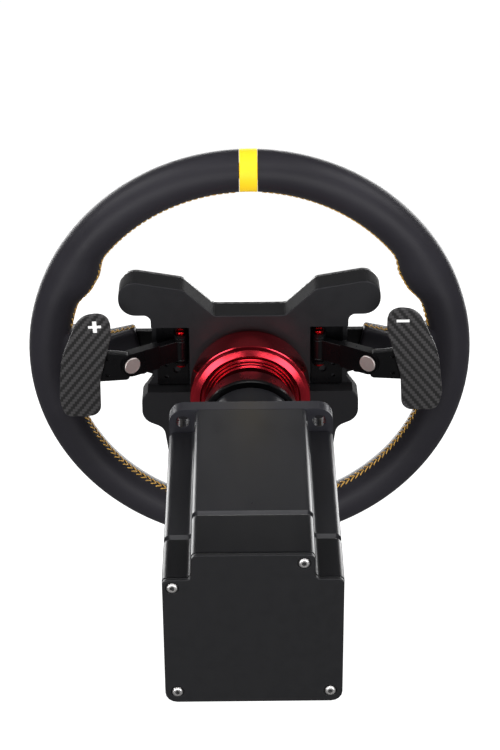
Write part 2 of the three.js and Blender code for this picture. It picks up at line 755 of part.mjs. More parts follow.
/** The lever's arm, from its barrel round the pin out to the boss that holds the magnet. */
function paddleLever(sideName, side) {
  const { x, y, low, high } = PIVOT;
  const along = new THREE.Vector2(Math.cos(LEVER_SLOPE), Math.sin(LEVER_SLOPE));
  const across = new THREE.Vector2(-along.y, along.x);
  const at = (reach, offset) => new THREE.Vector2(x, y).addScaledVector(along, reach).addScaledVector(across, offset);
  const armLength = 48.5;
  const arm = plateZ(new THREE.Shape([at(0, -4), at(armLength, -4), at(armLength, 3), at(0, 3)]), low, high);
  const barrel = rodZ(4.7, low, high, x, y, 24);
  const plate = plateY(outline([[84, low - 1.8, 0], [116, low - 3.8, 3], [116, high + 2, 3], [84, high - 1, 0]]), 53, BLADE_FRONT - GAP);
  const made = joined(arm, barrel, plate)
    .subtract(rodZ(2.5, 0, 60, x, y))
    .subtract(magnetRod(MAGNET.radius + GAP, 3.4, 6));
  return piece(`paddle_lever_${sideName}`, onSide(made, side), blackAnodised);
}

/** A rod square to the lever's sloping arm, `below` its rear face and `above` it. */
function magnetRod(radius, below, above) {
  const reach = (MAGNET.x - PIVOT.x) / Math.cos(LEVER_SLOPE);
  const geometry = new THREE.CylinderGeometry(radius, radius, above + below, 24);
  geometry.translate(reach, 3 + (above - below) / 2, 0).rotateZ(LEVER_SLOPE);
  return solid(geometry.translate(PIVOT.x, PIVOT.y, MAGNET.z));
}

function paddleMagnet(sideName, side) {
  return piece(`paddle_magnet_${sideName}`, onSide(magnetRod(MAGNET.radius, 3, 0.6), side), bareSteel);
}

const BLADE_CORNERS = [
  [105.5, 67.5, 9],
  [116, 66, 14],
  [131, 33, 60],
  [135, -1, 30],
  [131, -13, 7],
  [106.5, -13, 8],
  [105, 15, 30],
  [94.7, 50, 26],
  [94.7, 67.5, 9],
];
const BLADE_CENTRE = { x: 115, z: 25 };
// The blades' slots let each be set to its driver: the tilt in degrees and the rise of each.
const BLADE_SETTING = { right: { tilt: 2.2, rise: -3 }, left: { tilt: 0, rise: 0 } };

function paddleBlade(sideName, side) {
  const rear = BLADE_FRONT + BLADE_THICKNESS;
  const mark = { x: 105.5, z: 57.8, long: 4.5, thick: 1.1 };
  const bar = (halfX, halfZ) => block([mark.x - halfX, 0, mark.z - halfZ], [mark.x + halfX, 99, mark.z + halfZ]);
  let made = plateY(outline(BLADE_CORNERS), BLADE_FRONT, rear).subtract(bar(mark.long, mark.thick));
  if (side > 0) made = made.subtract(bar(mark.thick * 1.3, mark.long));
  const { x, z } = BLADE_CENTRE;
  const { tilt, rise } = BLADE_SETTING[sideName];
  made = made.translate(-x, 0, -z).rotate([0, tilt, 0]).translate(x, 0, z + rise);
  return piece(`paddle_blade_${sideName}`, onSide(made, side), carbonFibre);
}

// ---------- Controls on the front panel ----------
/** A push button: its cap stands in front of the panel and its flange sits behind it. */
function buttonCap(name, x, z) {
  const r = BUTTON_RADIUS;
  const flange = PANEL_REAR + GAP;
  const profile = [
    [0, PANEL_FRONT - 4],
    [r - 1, PANEL_FRONT - 4],
    [r, PANEL_FRONT - 3],
    [r, flange],
    [r + 1, flange],
    [r + 1, flange + 1],
    [2, flange + 1],
    [2, 22.2],
    [0, 22.2],
  ];
  const mesh = piece(name, turned(profile, 16), buttonPlastic);
  mesh.position.set(x, 0, z);
  return mesh;
}

function knob(name, x) {
  const r = KNOB.radius;
  const base = PANEL_FRONT - 0.6;
  const profile = [[0, base - 14], [r - 2.5, base - 14], [r - 1.5, base - 13], [r - 1, base - 3], [r, base - 2], [r, base], [3, base], [3, 24], [0, 24]];
  const flutes = 8;
  let made = turned(profile, 24);
  for (let i = 0; i < flutes; i++) {
    const flute = rodY(0.9, base - 15, base - 3.2, 6).translate(0, 0, r - 0.9);
    made = made.subtract(flute.rotate([0, (360 * (i + 0.5)) / flutes, 0]));
  }
  const mesh = piece(name, made, blackPlastic);
  mesh.position.set(x, 0, KNOB.z);
  return mesh;
}

function toggle(name, x) {
  const profile = [[0, -16], [2.2, -15.5], [2.8, -14], [1.7, -3], [3.2, -1.5], [3.2, 1.5], [1.2, 3], [1.2, 4.5], [0, 4.5]];
  const mesh = piece(name, turned(profile, 16), bareSteel);
  mesh.position.set(x, PANEL_FRONT + 1.5, TOGGLE.z);
  return mesh;
}

// ---------- Assembly ----------
const base = new THREE.Group();
base.add(
  frontFlange(),
  noseHousing(),
  motorHousing(),
  ...stator(),
  bearing("front_bearing", SHAFT_RADIUS + GAP, BEARING_RADIUS, -NOSE_LENGTH + 5.3, -NOSE_LENGTH + 21),
  bearing("rear_bearing", SHAFT_TAIL_RADIUS + GAP, REAR_BEARING_RADIUS, MOTOR_END - 9, MOTOR_END - 0.5),
  controllerHousing(),
  controllerBoard(),
  rearCover(),
  ...coverScrews(),
  ...sockets(),
  motorShaft(),
  rotorCore(),
  encoderMagnet(),
  quickReleaseHub(),
);

const wheel = new THREE.Group();
wheel.position.set(0, -WHEEL_SETBACK, 0);
wheel.add(
  rimCore(),
  spokeFrame(),
  ...grip(),
  wheelHousing(),
  frontPanel(),
  ...buttonBoards(),
  ...hubBolts(),
  centreCap(),
  quickReleaseBody(),
  quickReleaseCollar(),
  ...buttonPlaces().map(([name, x, z]) => buttonCap(name, x, z)),
);
for (const [sideName, side] of [["right", 1], ["left", -1]]) {
  wheel.add(
    paddleBracket(sideName, side),
    pivotPin(sideName, side),
    paddleLever(sideName, side),
    paddleMagnet(sideName, side),
    paddleBlade(sideName, side),
    knob(`rotary_knob_${sideName}`, side * KNOB.x),
    toggle(`toggle_${sideName}`, side * TOGGLE.x),
  );
}

const racingWheel = new THREE.Group();
racingWheel.add(base, wheel);
export default racingWheel;
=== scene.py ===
"""The finished look of a direct-drive racing wheel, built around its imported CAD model.

All places are in the model's own frame: the shaft runs along Y through the origin, the driver sits
at -Y, Z is up. Sizes are written in millimetres and turned into metres where a mesh is made.
"""

import logging
import math
from contextlib import contextmanager
from dataclasses import dataclass, field
from enum import Enum
from typing import Callable, Iterable, Iterator, Sequence

import bpy
from mathutils import Matrix, Vector


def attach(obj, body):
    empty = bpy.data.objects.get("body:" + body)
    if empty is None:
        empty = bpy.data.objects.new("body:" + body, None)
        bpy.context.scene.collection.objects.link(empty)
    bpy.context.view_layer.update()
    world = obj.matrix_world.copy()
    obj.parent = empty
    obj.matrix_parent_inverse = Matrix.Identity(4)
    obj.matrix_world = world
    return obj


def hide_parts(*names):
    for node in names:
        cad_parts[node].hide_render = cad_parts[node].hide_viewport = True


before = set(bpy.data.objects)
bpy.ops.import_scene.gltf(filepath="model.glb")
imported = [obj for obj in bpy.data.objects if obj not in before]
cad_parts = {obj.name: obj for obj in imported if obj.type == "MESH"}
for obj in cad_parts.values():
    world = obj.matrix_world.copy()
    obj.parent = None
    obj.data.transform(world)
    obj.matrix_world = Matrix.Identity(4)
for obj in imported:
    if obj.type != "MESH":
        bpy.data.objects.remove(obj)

MM = 0.001
WHEEL_PLANE = -160.0  # station of the rim's plane
DOUBLES = 1e-6  # points nearer than this are one point, metres
FINE_ARC = 0.16  # turn between two points of a large outline's corners, radians
END_REACH = 0.01  # points nearer than this to a station lie on it, mm
PLATE_EDGE = 0.5  # rounding of an edge beside a chamfer, mm
GAP = 0.3  # clearance between two neighbouring pieces, mm

Point = tuple[float, float]
Corner = tuple[float, float, float]
Piece = bpy.types.Object
Socket = bpy.types.NodeSocket

logging.basicConfig(level=logging.INFO, format="%(levelname)s %(message)s")
log = logging.getLogger("racing_wheel")


class Axis(Enum):
    """A direction that plates are extruded along and turned pieces spin about."""

    X = (1.0, 0.0, 0.0)
    Y = (0.0, 1.0, 0.0)
    Z = (0.0, 0.0, 1.0)

    @property
    def vector(self) -> Vector:
        """The axis as a unit vector."""
        return Vector(self.value)

    def place(self, a: float, b: float, station: float) -> Vector:
        """Puts a flat point in space.

        Args:
            a: First coordinate across the axis, mm.
            b: Second coordinate across the axis, mm.
            station: Coordinate along the axis, mm.

        Returns:
            The point in metres.
        """
        order = {Axis.X: (station, a, b), Axis.Y: (a, station, b), Axis.Z: (a, b, station)}
        return Vector(order[self]) * MM


class Side(Enum):
    """The driver's right (+X) or left (-X)."""

    RIGHT = 1
    LEFT = -1

    @property
    def word(self) -> str:
        """The side's name as the model's nodes spell it."""
        return self.name.lower()


# --- Modelling ---
def release() -> None:
    """Leaves edit mode and deselects everything."""
    if bpy.context.object and bpy.context.object.mode != "OBJECT":
        bpy.ops.object.mode_set(mode="OBJECT")
    bpy.ops.object.select_all(action="DESELECT")


def pick(obj: Piece) -> None:
    """Makes one object the only selected one, and the active one."""
    release()
    obj.select_set(True)
    bpy.context.view_layer.objects.active = obj


def settle(obj: Piece) -> Piece:
    """Moves an object's place, turn and scale into its mesh and returns it."""
    pick(obj)
    bpy.ops.object.transform_apply(location=True, rotation=True, scale=True)
    return obj


@contextmanager
def editing(obj: Piece) -> Iterator[None]:
    """Opens an object in edit mode with all of it selected, and closes it afterwards."""
    pick(obj)
    bpy.ops.object.mode_set(mode="EDIT")
    bpy.ops.mesh.select_all(action="SELECT")
    yield
    bpy.ops.object.mode_set(mode="OBJECT")


def applied(obj: Piece, kind: str, **settings: object) -> Piece:
    """Adds a modifier to an object and applies it.

    Args:
        obj: The object.
        kind: The modifier's type.
        settings: The modifier's own properties.

    Returns:
        The object.
    """
    pick(obj)
    bpy.ops.object.modifier_add(type=kind)
    modifier = obj.modifiers[-1]
    for name, value in settings.items():
        setattr(modifier, name, value)
    bpy.ops.object.modifier_apply(modifier=modifier.name)
    return obj


def joined(pieces: Sequence[Piece], name: str) -> Piece:
    """Puts several pieces into one object with their shapes unchanged, and returns it."""
    release()
    for piece in pieces:
        piece.select_set(True)
    bpy.context.view_layer.objects.active = pieces[0]
    bpy.ops.object.join()
    bpy.context.object.name = name
    return bpy.context.object


def face_outwards(obj: Piece) -> Piece:
    """Merges doubles, points every face outwards and returns the object."""
    with editing(obj):
        bpy.ops.mesh.remove_doubles(threshold=DOUBLES)
        bpy.ops.mesh.normals_make_consistent(inside=False)
    return obj


def rounded(corners: Sequence[Corner], step: float = 0.22) -> list[Point]:
    """Rounds the corners of a closed outline.

    Args:
        corners: Each corner's two coordinates and its radius, mm.
        step: Largest turn between two points of a rounded corner, radians.

    Returns:
        The outline's points in order.
    """
    points: list[Point] = []
    count = len(corners)
    for i, (a, b, radius) in enumerate(corners):
        here = Vector((a, b))
        if radius <= 0:
            points.append((a, b))
            continue
        back = (Vector(corners[i - 1][:2]) - here).normalized()
        ahead = (Vector(corners[(i + 1) % count][:2]) - here).normalized()
        half = math.acos(max(-1.0, min(1.0, back.dot(ahead)))) / 2
        start = here + back * (radius / math.tan(half))
        end = here + ahead * (radius / math.tan(half))
        centre = here + (back + ahead).normalized() * (radius / math.sin(half))
        first = math.atan2(*(start - centre).yx)
        sweep = math.remainder(math.atan2(*(end - centre).yx) - first, math.tau)
        steps = max(2, math.ceil(abs(sweep) / step))
        for k in range(steps + 1):
            angle = first + sweep * k / steps
            points.append((centre.x + radius * math.cos(angle), centre.y + radius * math.sin(angle)))
    return points


def both_sides(half: Sequence[Corner]) -> list[Corner]:
    """Completes an outline that is the same left and right from its right half."""
    return [*half, *[(-a, b, radius) for a, b, radius in reversed(half)]]


def traced(
    name: str,
    points: Sequence[Point],
    low: float,
    high: float,
    axis: Axis = Axis.Y,
) -> Piece:
    """Draws an outline point by point, fills it and extrudes it into a plate.

    Args:
        name: The plate's name.
        points: The outline's points across the axis, mm.
        low: Station of the first face, mm.
        high: Station of the second face, mm.
        axis: The direction of extrusion.

    Returns:
        The plate.
    """
    release()
    start = axis.place(*points[0], low)
    bpy.ops.mesh.primitive_plane_add(size=MM, location=start)
    plate = bpy.context.object
    plate.name = name
    with editing(plate):
        bpy.ops.mesh.merge(type="CENTER")
        for here, there in zip(points, points[1:]):
            step = axis.place(*there, low) - axis.place(*here, low)
            bpy.ops.mesh.extrude_vertices_move(TRANSFORM_OT_translate={"value": step})
        bpy.ops.mesh.select_all(action="SELECT")
        bpy.ops.mesh.edge_face_add()
        step = axis.vector * (high - low) * MM
        bpy.ops.mesh.extrude_region_move(TRANSFORM_OT_translate={"value": step})
    return face_outwards(settle(plate))


def turned(
    name: str,
    profile: Sequence[Point],
    centre: Point = (0.0, 0.0),
    axis: Axis = Axis.Y,
    segments: int = 96,
    hollow: bool = False,
) -> Piece:
    """Draws a ring and extrudes it along a profile, as on a lathe.

    Args:
        name: The piece's name.
        profile: Radius and station of each ring in turn, mm.
        centre: Where the axis stands, mm.
        axis: The direction the piece is turned about.
        segments: Points in each ring.
        hollow: Whether the profile closes on itself round a bore.

    Returns:
        The piece.
    """
    release()
    radius, station = profile[0]
    quarter = math.pi / 2
    turn = {Axis.X: (0.0, quarter, 0.0), Axis.Y: (quarter, 0.0, 0.0), Axis.Z: (0.0, 0.0, 0.0)}
    bpy.ops.mesh.primitive_circle_add(
        vertices=segments,
        radius=radius * MM,
        fill_type="NOTHING" if hollow else "NGON",
        location=axis.place(*centre, station),
        rotation=turn[axis],
    )
    piece = bpy.context.object
    piece.name = name
    rings = [*profile, profile[0]] if hollow else list(profile)
    with editing(piece):
        for (r_here, s_here), (r_there, s_there) in zip(rings, rings[1:]):
            step = axis.vector * (s_there - s_here) * MM
            bpy.ops.mesh.extrude_region_move(TRANSFORM_OT_translate={"value": step})
            ratio = r_there / r_here
            value = [1.0 if part else ratio for part in axis.value]
            bpy.ops.transform.resize(value=value, center_override=axis.place(*centre, s_there))
    return face_outwards(settle(piece))


def rod(
    name: str,
    radius: float,
    low: float,
    high: float,
    centre: Point,
    axis: Axis = Axis.Y,
    sides: int = 40,
) -> Piece:
    """Makes a plain rod, used to cut holes.

    Args:
        name: The rod's name.
        radius: Its radius, mm.
        low: Station of its first end, mm.
        high: Station of its second end, mm.
        centre: Where its axis stands, mm.
        axis: Its direction.
        sides: Points round it.

    Returns:
        The rod.
    """
    return turned(name, [(radius, low), (radius, high)], centre, axis, sides)


def brick(name: str, low: Sequence[float], high: Sequence[float]) -> Piece:
    """Makes a box between two corners in mm, used to cut pockets, and returns it."""
    release()
    middle = [(a + b) / 2 * MM for a, b in zip(low, high)]
    size = [(b - a) * MM for a, b in zip(low, high)]
    bpy.ops.mesh.primitive_cube_add(size=1.0, location=middle, scale=size)
    bpy.context.object.name = name
    return settle(bpy.context.object)


def combine(obj: Piece, tools: Iterable[Piece], operation: str) -> Piece:
    """Runs one boolean after another on an object and removes the tools.

    Args:
        obj: The object to change.
        tools: The objects to cut with or to add.
        operation: DIFFERENCE, UNION or INTERSECT.

    Returns:
        The changed object.
    """
    for tool in list(tools):
        applied(obj, "BOOLEAN", operation=operation, solver="EXACT", object=tool)
        bpy.data.objects.remove(tool)
    return obj


def cut(obj: Piece, *tools: Piece) -> Piece:
    """Cuts the tools out of an object and returns it."""
    return combine(obj, tools, "DIFFERENCE")


def fuse(obj: Piece, *tools: Piece) -> Piece:
    """Adds the tools to an object as one solid and returns it."""
    return combine(obj, tools, "UNION")


def soften(obj: Piece, width: float, segments: int = 3, angle: float = 35.0) -> Piece:
    """Rounds an object's sharp edges.

    Args:
        obj: The object.
        width: How far the rounding reaches, mm.
        segments: Facets across it.
        angle: Smallest turn, in degrees, that counts as an edge.

    Returns:
        The object.
    """
    return applied(
        obj,
        "BEVEL",
        width=width * MM,
        segments=segments,
        limit_method="ANGLE",
        angle_limit=math.radians(angle),
        miter_outer="MITER_ARC",
    )


def chamfered(obj: Piece, station: float, width: float) -> Piece:
    """Cuts a plain chamfer round the end of a piece that points along the base.

    Args:
        obj: The piece.
        station: Where its end lies, mm.
        width: How far the chamfer reaches, mm.

    Returns:
        The piece.
    """
    pick(obj)
    mesh = obj.data
    near = [abs(vertex.co.y - station * MM) < END_REACH * MM for vertex in mesh.vertices]
    for group in (mesh.polygons, mesh.vertices):
        group.foreach_set("select", [False] * len(group))
    for edge in mesh.edges:
        edge.select = near[edge.vertices[0]] and near[edge.vertices[1]]
    bpy.ops.object.mode_set(mode="EDIT")
    bpy.ops.mesh.select_mode(type="EDGE")
    bpy.ops.mesh.bevel(offset=width * MM, segments=1, affect="EDGES")
    bpy.ops.mesh.select_mode(type="VERT")
    bpy.ops.object.mode_set(mode="OBJECT")
    return obj


def polish(obj: Piece, angle: float = 38.0, weighted: bool = True) -> Piece:
    """Shades an object smooth up to an angle, with flat faces kept flat, and returns it."""
    pick(obj)
    bpy.ops.object.shade_smooth_by_angle(angle=math.radians(angle))
    if weighted:
        applied(obj, "WEIGHTED_NORMAL", keep_sharp=True)
    return obj


def copied(obj: Piece, name: str, shift: Sequence[float] = (0.0, 0.0, 0.0)) -> Piece:
    """Copies an object with its own mesh, moves the copy by mm and returns it."""
    pick(obj)
    bpy.ops.object.duplicate(linked=False)
    copy = bpy.context.object
    copy.name = name
    copy.location = Vector(shift) * MM
    return settle(copy)


def mirrored(obj: Piece, side: Side) -> Piece:
    """Turns a right-hand piece into a left-hand one where the side asks for it, and returns it."""
    if side is Side.LEFT:
        obj.scale.x = -1.0
        settle(obj)
        face_outwards(obj)
    return obj


def swung(obj: Piece, angle: float, axis: Axis, centre: Vector) -> Piece:
    """Turns an object in place by the right-hand rule.

    Args:
        obj: The object.
        angle: Turn in radians.
        axis: The axis of the turn.
        centre: A point on the axis, metres.

    Returns:
        The object.
    """
    turn = Matrix.Rotation(angle, 4, axis.vector)
    obj.matrix_world = Matrix.Translation(centre) @ turn @ Matrix.Translation(-centre)
    return settle(obj)


def ringed(obj: Piece, count: int, angle: float) -> Piece:
    """Repeats a mesh about the shaft's axis.

    Args:
        obj: The mesh to repeat.
        count: How many more of it there will be.
        angle: The arc they fill, in radians.

    Returns:
        The object, now holding every repeat.
    """
    with editing(obj):
        bpy.ops.mesh.spin(steps=count, dupli=True, angle=angle, center=(0, 0, 0), axis=(0, -1, 0))
    return obj


def moved_along(profile: Sequence[Point], station: float) -> list[Point]:
    """A lathe's profile with a station in mm added to each ring's own."""
    return [(radius, station + own) for radius, own in profile]


def reshaped(obj: Piece, rule: Callable[[Vector], Vector]) -> Piece:
    """Moves every point of a mesh by a rule that takes and gives metres, and returns it."""
    for vertex in obj.data.vertices:
        vertex.co = rule(vertex.co.copy())
    return obj


# --- Finishes ---
Colour = tuple[float, float, float]


class Wiring:
    """Builds a material's nodes with short calls."""

    def __init__(self, name: str) -> None:
        """Starts a new material.

        Args:
            name: The material's name.
        """
        self.material = bpy.data.materials.new(name)
        self.material.use_nodes = True
        self.tree = self.material.node_tree
        self.shader = self.tree.nodes["Principled BSDF"]

    def node(
        self,
        kind: str,
        inputs: dict[str | int, object] | None = None,
        **settings: object,
    ) -> bpy.types.Node:
        """Adds a node.

        Args:
            kind: The node's type.
            inputs: Values or output sockets for its inputs.
            settings: Its own properties.

        Returns:
            The node.
        """
        made = self.tree.nodes.new(kind)
        for key, value in settings.items():
            setattr(made, key, value)
        for key, value in (inputs or {}).items():
            self.feed(made.inputs[key], value)
        return made

    def feed(self, socket: Socket, value: object) -> None:
        """Links an output to a socket, or sets the socket's own value."""
        if isinstance(value, Socket):
            self.tree.links.new(value, socket)
        else:
            socket.default_value = value

    def maths(self, operation: str, *values: object) -> Socket:
        """Adds a Math node and returns its output."""
        return self.node("ShaderNodeMath", dict(enumerate(values)), operation=operation).outputs[0]

    def place(self, scale: Colour = (1.0, 1.0, 1.0), turn: Colour = (0.0, 0.0, 0.0)) -> Socket:
        """Object coordinates, scaled and turned."""
        coordinates = self.node("ShaderNodeTexCoord").outputs["Object"]
        inputs = {"Vector": coordinates, "Scale": scale, "Rotation": turn}
        return self.node("ShaderNodeMapping", inputs).outputs["Vector"]

    def noise(
        self,
        vector: Socket,
        scale: float,
        detail: float = 3.0,
        rough: float = 0.55,
    ) -> Socket:
        """A noise texture's grey output."""
        inputs = {"Vector": vector, "Scale": scale, "Detail": detail, "Roughness": rough}
        return self.node("ShaderNodeTexNoise", inputs).outputs["Fac"]

    def blend(self, factor: object, first: Colour, second: Colour) -> Socket:
        """Mixes two colours by a factor."""
        mix = self.node("ShaderNodeMix", {"Factor": factor}, data_type="RGBA")
        mix.inputs["A"].default_value = (*first, 1.0)
        mix.inputs["B"].default_value = (*second, 1.0)
        return mix.outputs["Result"]

    def between(self, value: object, low: float, high: float) -> Socket:
        """Maps 0 to 1 onto a range."""
        inputs = {"Value": value, "To Min": low, "To Max": high}
        return self.node("ShaderNodeMapRange", inputs).outputs["Result"]

    def bump(
        self,
        height: Socket,
        strength: float,
        distance: float,
        under: Socket | None = None,
    ) -> Socket:
        """A bump from a height, in mm, over another bump where one is given."""
        inputs = {"Height": height, "Strength": strength, "Distance": distance * MM}
        if under is not None:
            inputs["Normal"] = under
        return self.node("ShaderNodeBump", inputs).outputs["Normal"]

    def surface(self, **inputs: object) -> None:
        """Feeds the shader's inputs, named with spaces as underscores."""
        for key, value in inputs.items():
            self.feed(self.shader.inputs[key.replace("_", " ")], value)


def shade(colour: Colour, amount: float) -> Colour:
    """A colour made lighter or darker by a factor."""
    return tuple(part * amount for part in colour)


@dataclass(frozen=True)
class Finish:
    """A finish that a piece is dressed in."""

    name: str
    colour: Colour
    roughness: float = 0.4

    def material(self) -> bpy.types.Material:
        """Returns the material, making it the first time."""
        name = f"{self.name}_finish"
        found = bpy.data.materials.get(name)
        if found:
            return found
        wiring = Wiring(name)
        self.wire(wiring)
        return wiring.material

    def wire(self, wiring: Wiring) -> None:
        """Builds the nodes.

        Args:
            wiring: The material under way.
        """
        raise NotImplementedError

    def dress(self, obj: Piece) -> None:
        """Gives a piece this finish alone."""
        obj.data.materials.clear()
        obj.data.materials.append(self.material())


@dataclass(frozen=True)
class Anodised(Finish):
    """Bead-blasted and anodised aluminium: an even satin skin with a very fine grain."""

    metallic: float = 0.55
    grain: float = 0.02
    gloss: float = 0.5
    edge: float = 1.0

    def wire(self, wiring: Wiring) -> None:
        """Builds the nodes."""
        place = wiring.place()
        cloud = wiring.noise(place, 26.0, 4.0)
        grain = wiring.noise(place, 2600.0, 2.0, 0.7)
        rub = wiring.noise(wiring.place((1.0, 0.25, 1.0)), 140.0, 5.0, 0.65)
        worn = wiring.between(wiring.maths("ADD", cloud, rub), -0.12, 0.55)
        wiring.surface(
            Base_Color=wiring.blend(worn, shade(self.colour, 0.82), shade(self.colour, 1.3)),
            Roughness=wiring.between(rub, self.roughness - 0.07, self.roughness + 0.09),
            Metallic=self.metallic,
            Specular_IOR_Level=self.gloss,
            Specular_Tint=(self.edge, self.edge, self.edge, 1.0),
            Normal=wiring.bump(grain, 0.35, self.grain, wiring.bump(rub, 0.1, 0.03)),
        )


@dataclass(frozen=True)
class TurnedAnodised(Finish):
    """Bright anodised aluminium straight from the lathe, with the tool's fine rings left in it."""

    pitch: float = 0.22

    def wire(self, wiring: Wiring) -> None:
        """Builds the nodes."""
        coordinates = wiring.node("ShaderNodeTexCoord").outputs["Object"]
        axes = wiring.node("ShaderNodeSeparateXYZ", {0: coordinates})
        squares = [wiring.maths("POWER", axes.outputs[name], 2.0) for name in "XZ"]
        radius = wiring.maths("SQRT", wiring.maths("ADD", *squares))
        reach = wiring.maths("ADD", radius, axes.outputs["Y"])
        rings = wiring.maths("SINE", wiring.maths("MULTIPLY", reach, math.tau / (self.pitch * MM)))
        cloud = wiring.noise(wiring.place(), 45.0, 4.0)
        wiring.surface(
            Base_Color=wiring.blend(cloud, shade(self.colour, 0.85), shade(self.colour, 1.15)),
            Roughness=wiring.between(cloud, self.roughness - 0.04, self.roughness + 0.05),
            Metallic=1.0,
            Normal=wiring.bump(rings, 0.12, 0.01),
        )


@dataclass(frozen=True)
class Leather(Finish):
    """Smooth upholstery leather, with small pores and slow creases pulled round the rim; its painted glow is
    light painted into it as emission, shining though the leather is no lamp.
    """

    crease: float = 0.35
    gloss: float = 0.28
    # painted glow: light painted into the leather as emission, shining though it is no lamp
    painted_glow: float = 0.0

    def wire(self, wiring: Wiring) -> None:
        """Builds the nodes."""
        place = wiring.place()
        inputs = {"Vector": place, "Scale": 950.0}
        cells = wiring.node("ShaderNodeTexVoronoi", inputs, feature="DISTANCE_TO_EDGE")
        pores = wiring.between(cells.outputs["Distance"], 0.0, 1.6)
        fine = wiring.noise(place, 1500.0, 3.0, 0.6)
        slow = wiring.noise(place, 38.0, 3.0, 0.5)
        tone = wiring.noise(place, 16.0, 5.0, 0.6)
        relief = wiring.bump(slow, self.crease, 1.2)
        relief = wiring.bump(pores, 0.3, 0.12, relief)
        relief = wiring.bump(fine, 0.15, 0.05, relief)
        wiring.surface(
            Base_Color=wiring.blend(
                wiring.between(tone, -0.1, 1.1),
                shade(self.colour, 0.75),
                shade(self.colour, 1.3),
            ),
            Roughness=wiring.between(tone, self.roughness - 0.06, self.roughness + 0.08),
            Specular_IOR_Level=self.gloss,
            # painted glow: emission in the leather's own colour paints extra light into it
            Emission_Color=(*self.colour, 1.0),
            Emission_Strength=self.painted_glow,
            Sheen_Weight=0.02,
            Sheen_Roughness=0.4,
            Normal=relief,
        )


@dataclass(frozen=True)
class Thread(Finish):
    """Twisted sewing thread."""

    def wire(self, wiring: Wiring) -> None:
        """Builds the nodes."""
        place = wiring.place()
        twist = wiring.noise(place, 1800.0, 2.0)
        tone = wiring.noise(place, 120.0, 3.0)
        wiring.surface(
            Base_Color=wiring.blend(
                wiring.between(tone, -0.3, 1.2),
                shade(self.colour, 0.55),
                shade(self.colour, 1.15),
            ),
            Roughness=self.roughness,
            Sheen_Weight=0.3,
            Normal=wiring.bump(twist, 0.6, 0.2),
        )


@dataclass(frozen=True)
class CarbonTwill(Finish):
    """Two-by-two twill carbon cloth under a satin lacquer."""

    tow: float = 1.6
    lean: int = 1

    def wire(self, wiring: Wiring) -> None:
        """Builds the nodes."""
        pitch = self.tow * MM
        place = wiring.place((self.lean / pitch, 1.0 / pitch, 0.8 / pitch))
        axes = wiring.node("ShaderNodeSeparateXYZ", {0: place})
        across, up = axes.outputs["X"], axes.outputs["Z"]
        column = wiring.maths("FLOOR", across)
        row = wiring.maths("FLOOR", up)
        count = wiring.maths("FLOORED_MODULO", wiring.maths("SUBTRACT", column, row), 4.0)
        over = wiring.maths("LESS_THAN", count, 1.5)
        chosen = wiring.node("ShaderNodeMix", {"Factor": over}, data_type="FLOAT")
        for name, part in (("A", across), ("B", up)):
            wave = wiring.maths("SINE", wiring.maths("MULTIPLY", part, math.pi))
            wiring.feed(chosen.inputs[name], wiring.maths("ABSOLUTE", wave))
        tow = chosen.outputs["Result"]
        fibre = wiring.noise(wiring.place((9000.0, 9000.0, 500.0)), 1.0, 2.0)
        layers = wiring.between(over, 0.12, 1.0), wiring.between(tow, 0.55, 1.0)
        tone = wiring.maths("MULTIPLY", *layers)
        tone = wiring.maths("MULTIPLY", tone, wiring.between(fibre, 0.75, 1.2))
        wiring.surface(
            Base_Color=wiring.blend(tone, shade(self.colour, 0.12), self.colour),
            Roughness=wiring.between(over, self.roughness, self.roughness + 0.14),
            Metallic=0.0,
            Coat_Weight=0.35,
            Coat_Roughness=0.22,
            Normal=wiring.bump(tow, 0.3, 0.15),
        )


@dataclass(frozen=True)
class BareMetal(Finish):
    """Bare machined metal with fine brush lines."""

    stretch: Colour = (1.0, 18.0, 1.0)

    def wire(self, wiring: Wiring) -> None:
        """Builds the nodes."""
        lines = wiring.noise(wiring.place(self.stretch), 420.0, 4.0, 0.7)
        cloud = wiring.noise(wiring.place(), 90.0, 3.0)
        wiring.surface(
            Base_Color=wiring.blend(cloud, shade(self.colour, 0.8), shade(self.colour, 1.12)),
            Roughness=wiring.between(lines, self.roughness - 0.07, self.roughness + 0.12),
            Metallic=1.0,
            Normal=wiring.bump(lines, 0.2, 0.03),
        )


@dataclass(frozen=True)
class Moulded(Finish):
    """Moulded plastic with a light spark-eroded texture; its painted glow is light painted into the surface,
    shining though the part is no lamp.
    """

    # painted glow: light painted into the plastic as emission
    painted_glow: float = 0.0

    def wire(self, wiring: Wiring) -> None:
        """Builds the nodes."""
        place = wiring.place()
        texture = wiring.noise(place, 1400.0, 2.0, 0.6)
        cloud = wiring.noise(place, 60.0, 3.0)
        wiring.surface(
            Base_Color=wiring.blend(cloud, shade(self.colour, 0.85), shade(self.colour, 1.15)),
            Roughness=wiring.between(cloud, self.roughness - 0.05, self.roughness + 0.07),
            # painted glow: emission in the plastic's own colour paints extra light into it
            Emission_Color=(*self.colour, 1.0),
            Emission_Strength=self.painted_glow,
            Normal=wiring.bump(texture, 0.3, 0.06),
        )


@dataclass(frozen=True)
class PaleFloor(Finish):
    """A smooth pale floor."""

    def wire(self, wiring: Wiring) -> None:
        """Builds the nodes."""
        cloud = wiring.noise(wiring.place(), 1.5, 2.0)
        seen = wiring.node("ShaderNodeLightPath").outputs["Is Camera Ray"]
        wiring.surface(
            Base_Color=wiring.blend(cloud, shade(self.colour, 0.97), self.colour),
            Roughness=self.roughness,
            Specular_IOR_Level=0.1,
            Emission_Color=(1.0, 1.0, 1.0, 1.0),
            Emission_Strength=seen,
        )


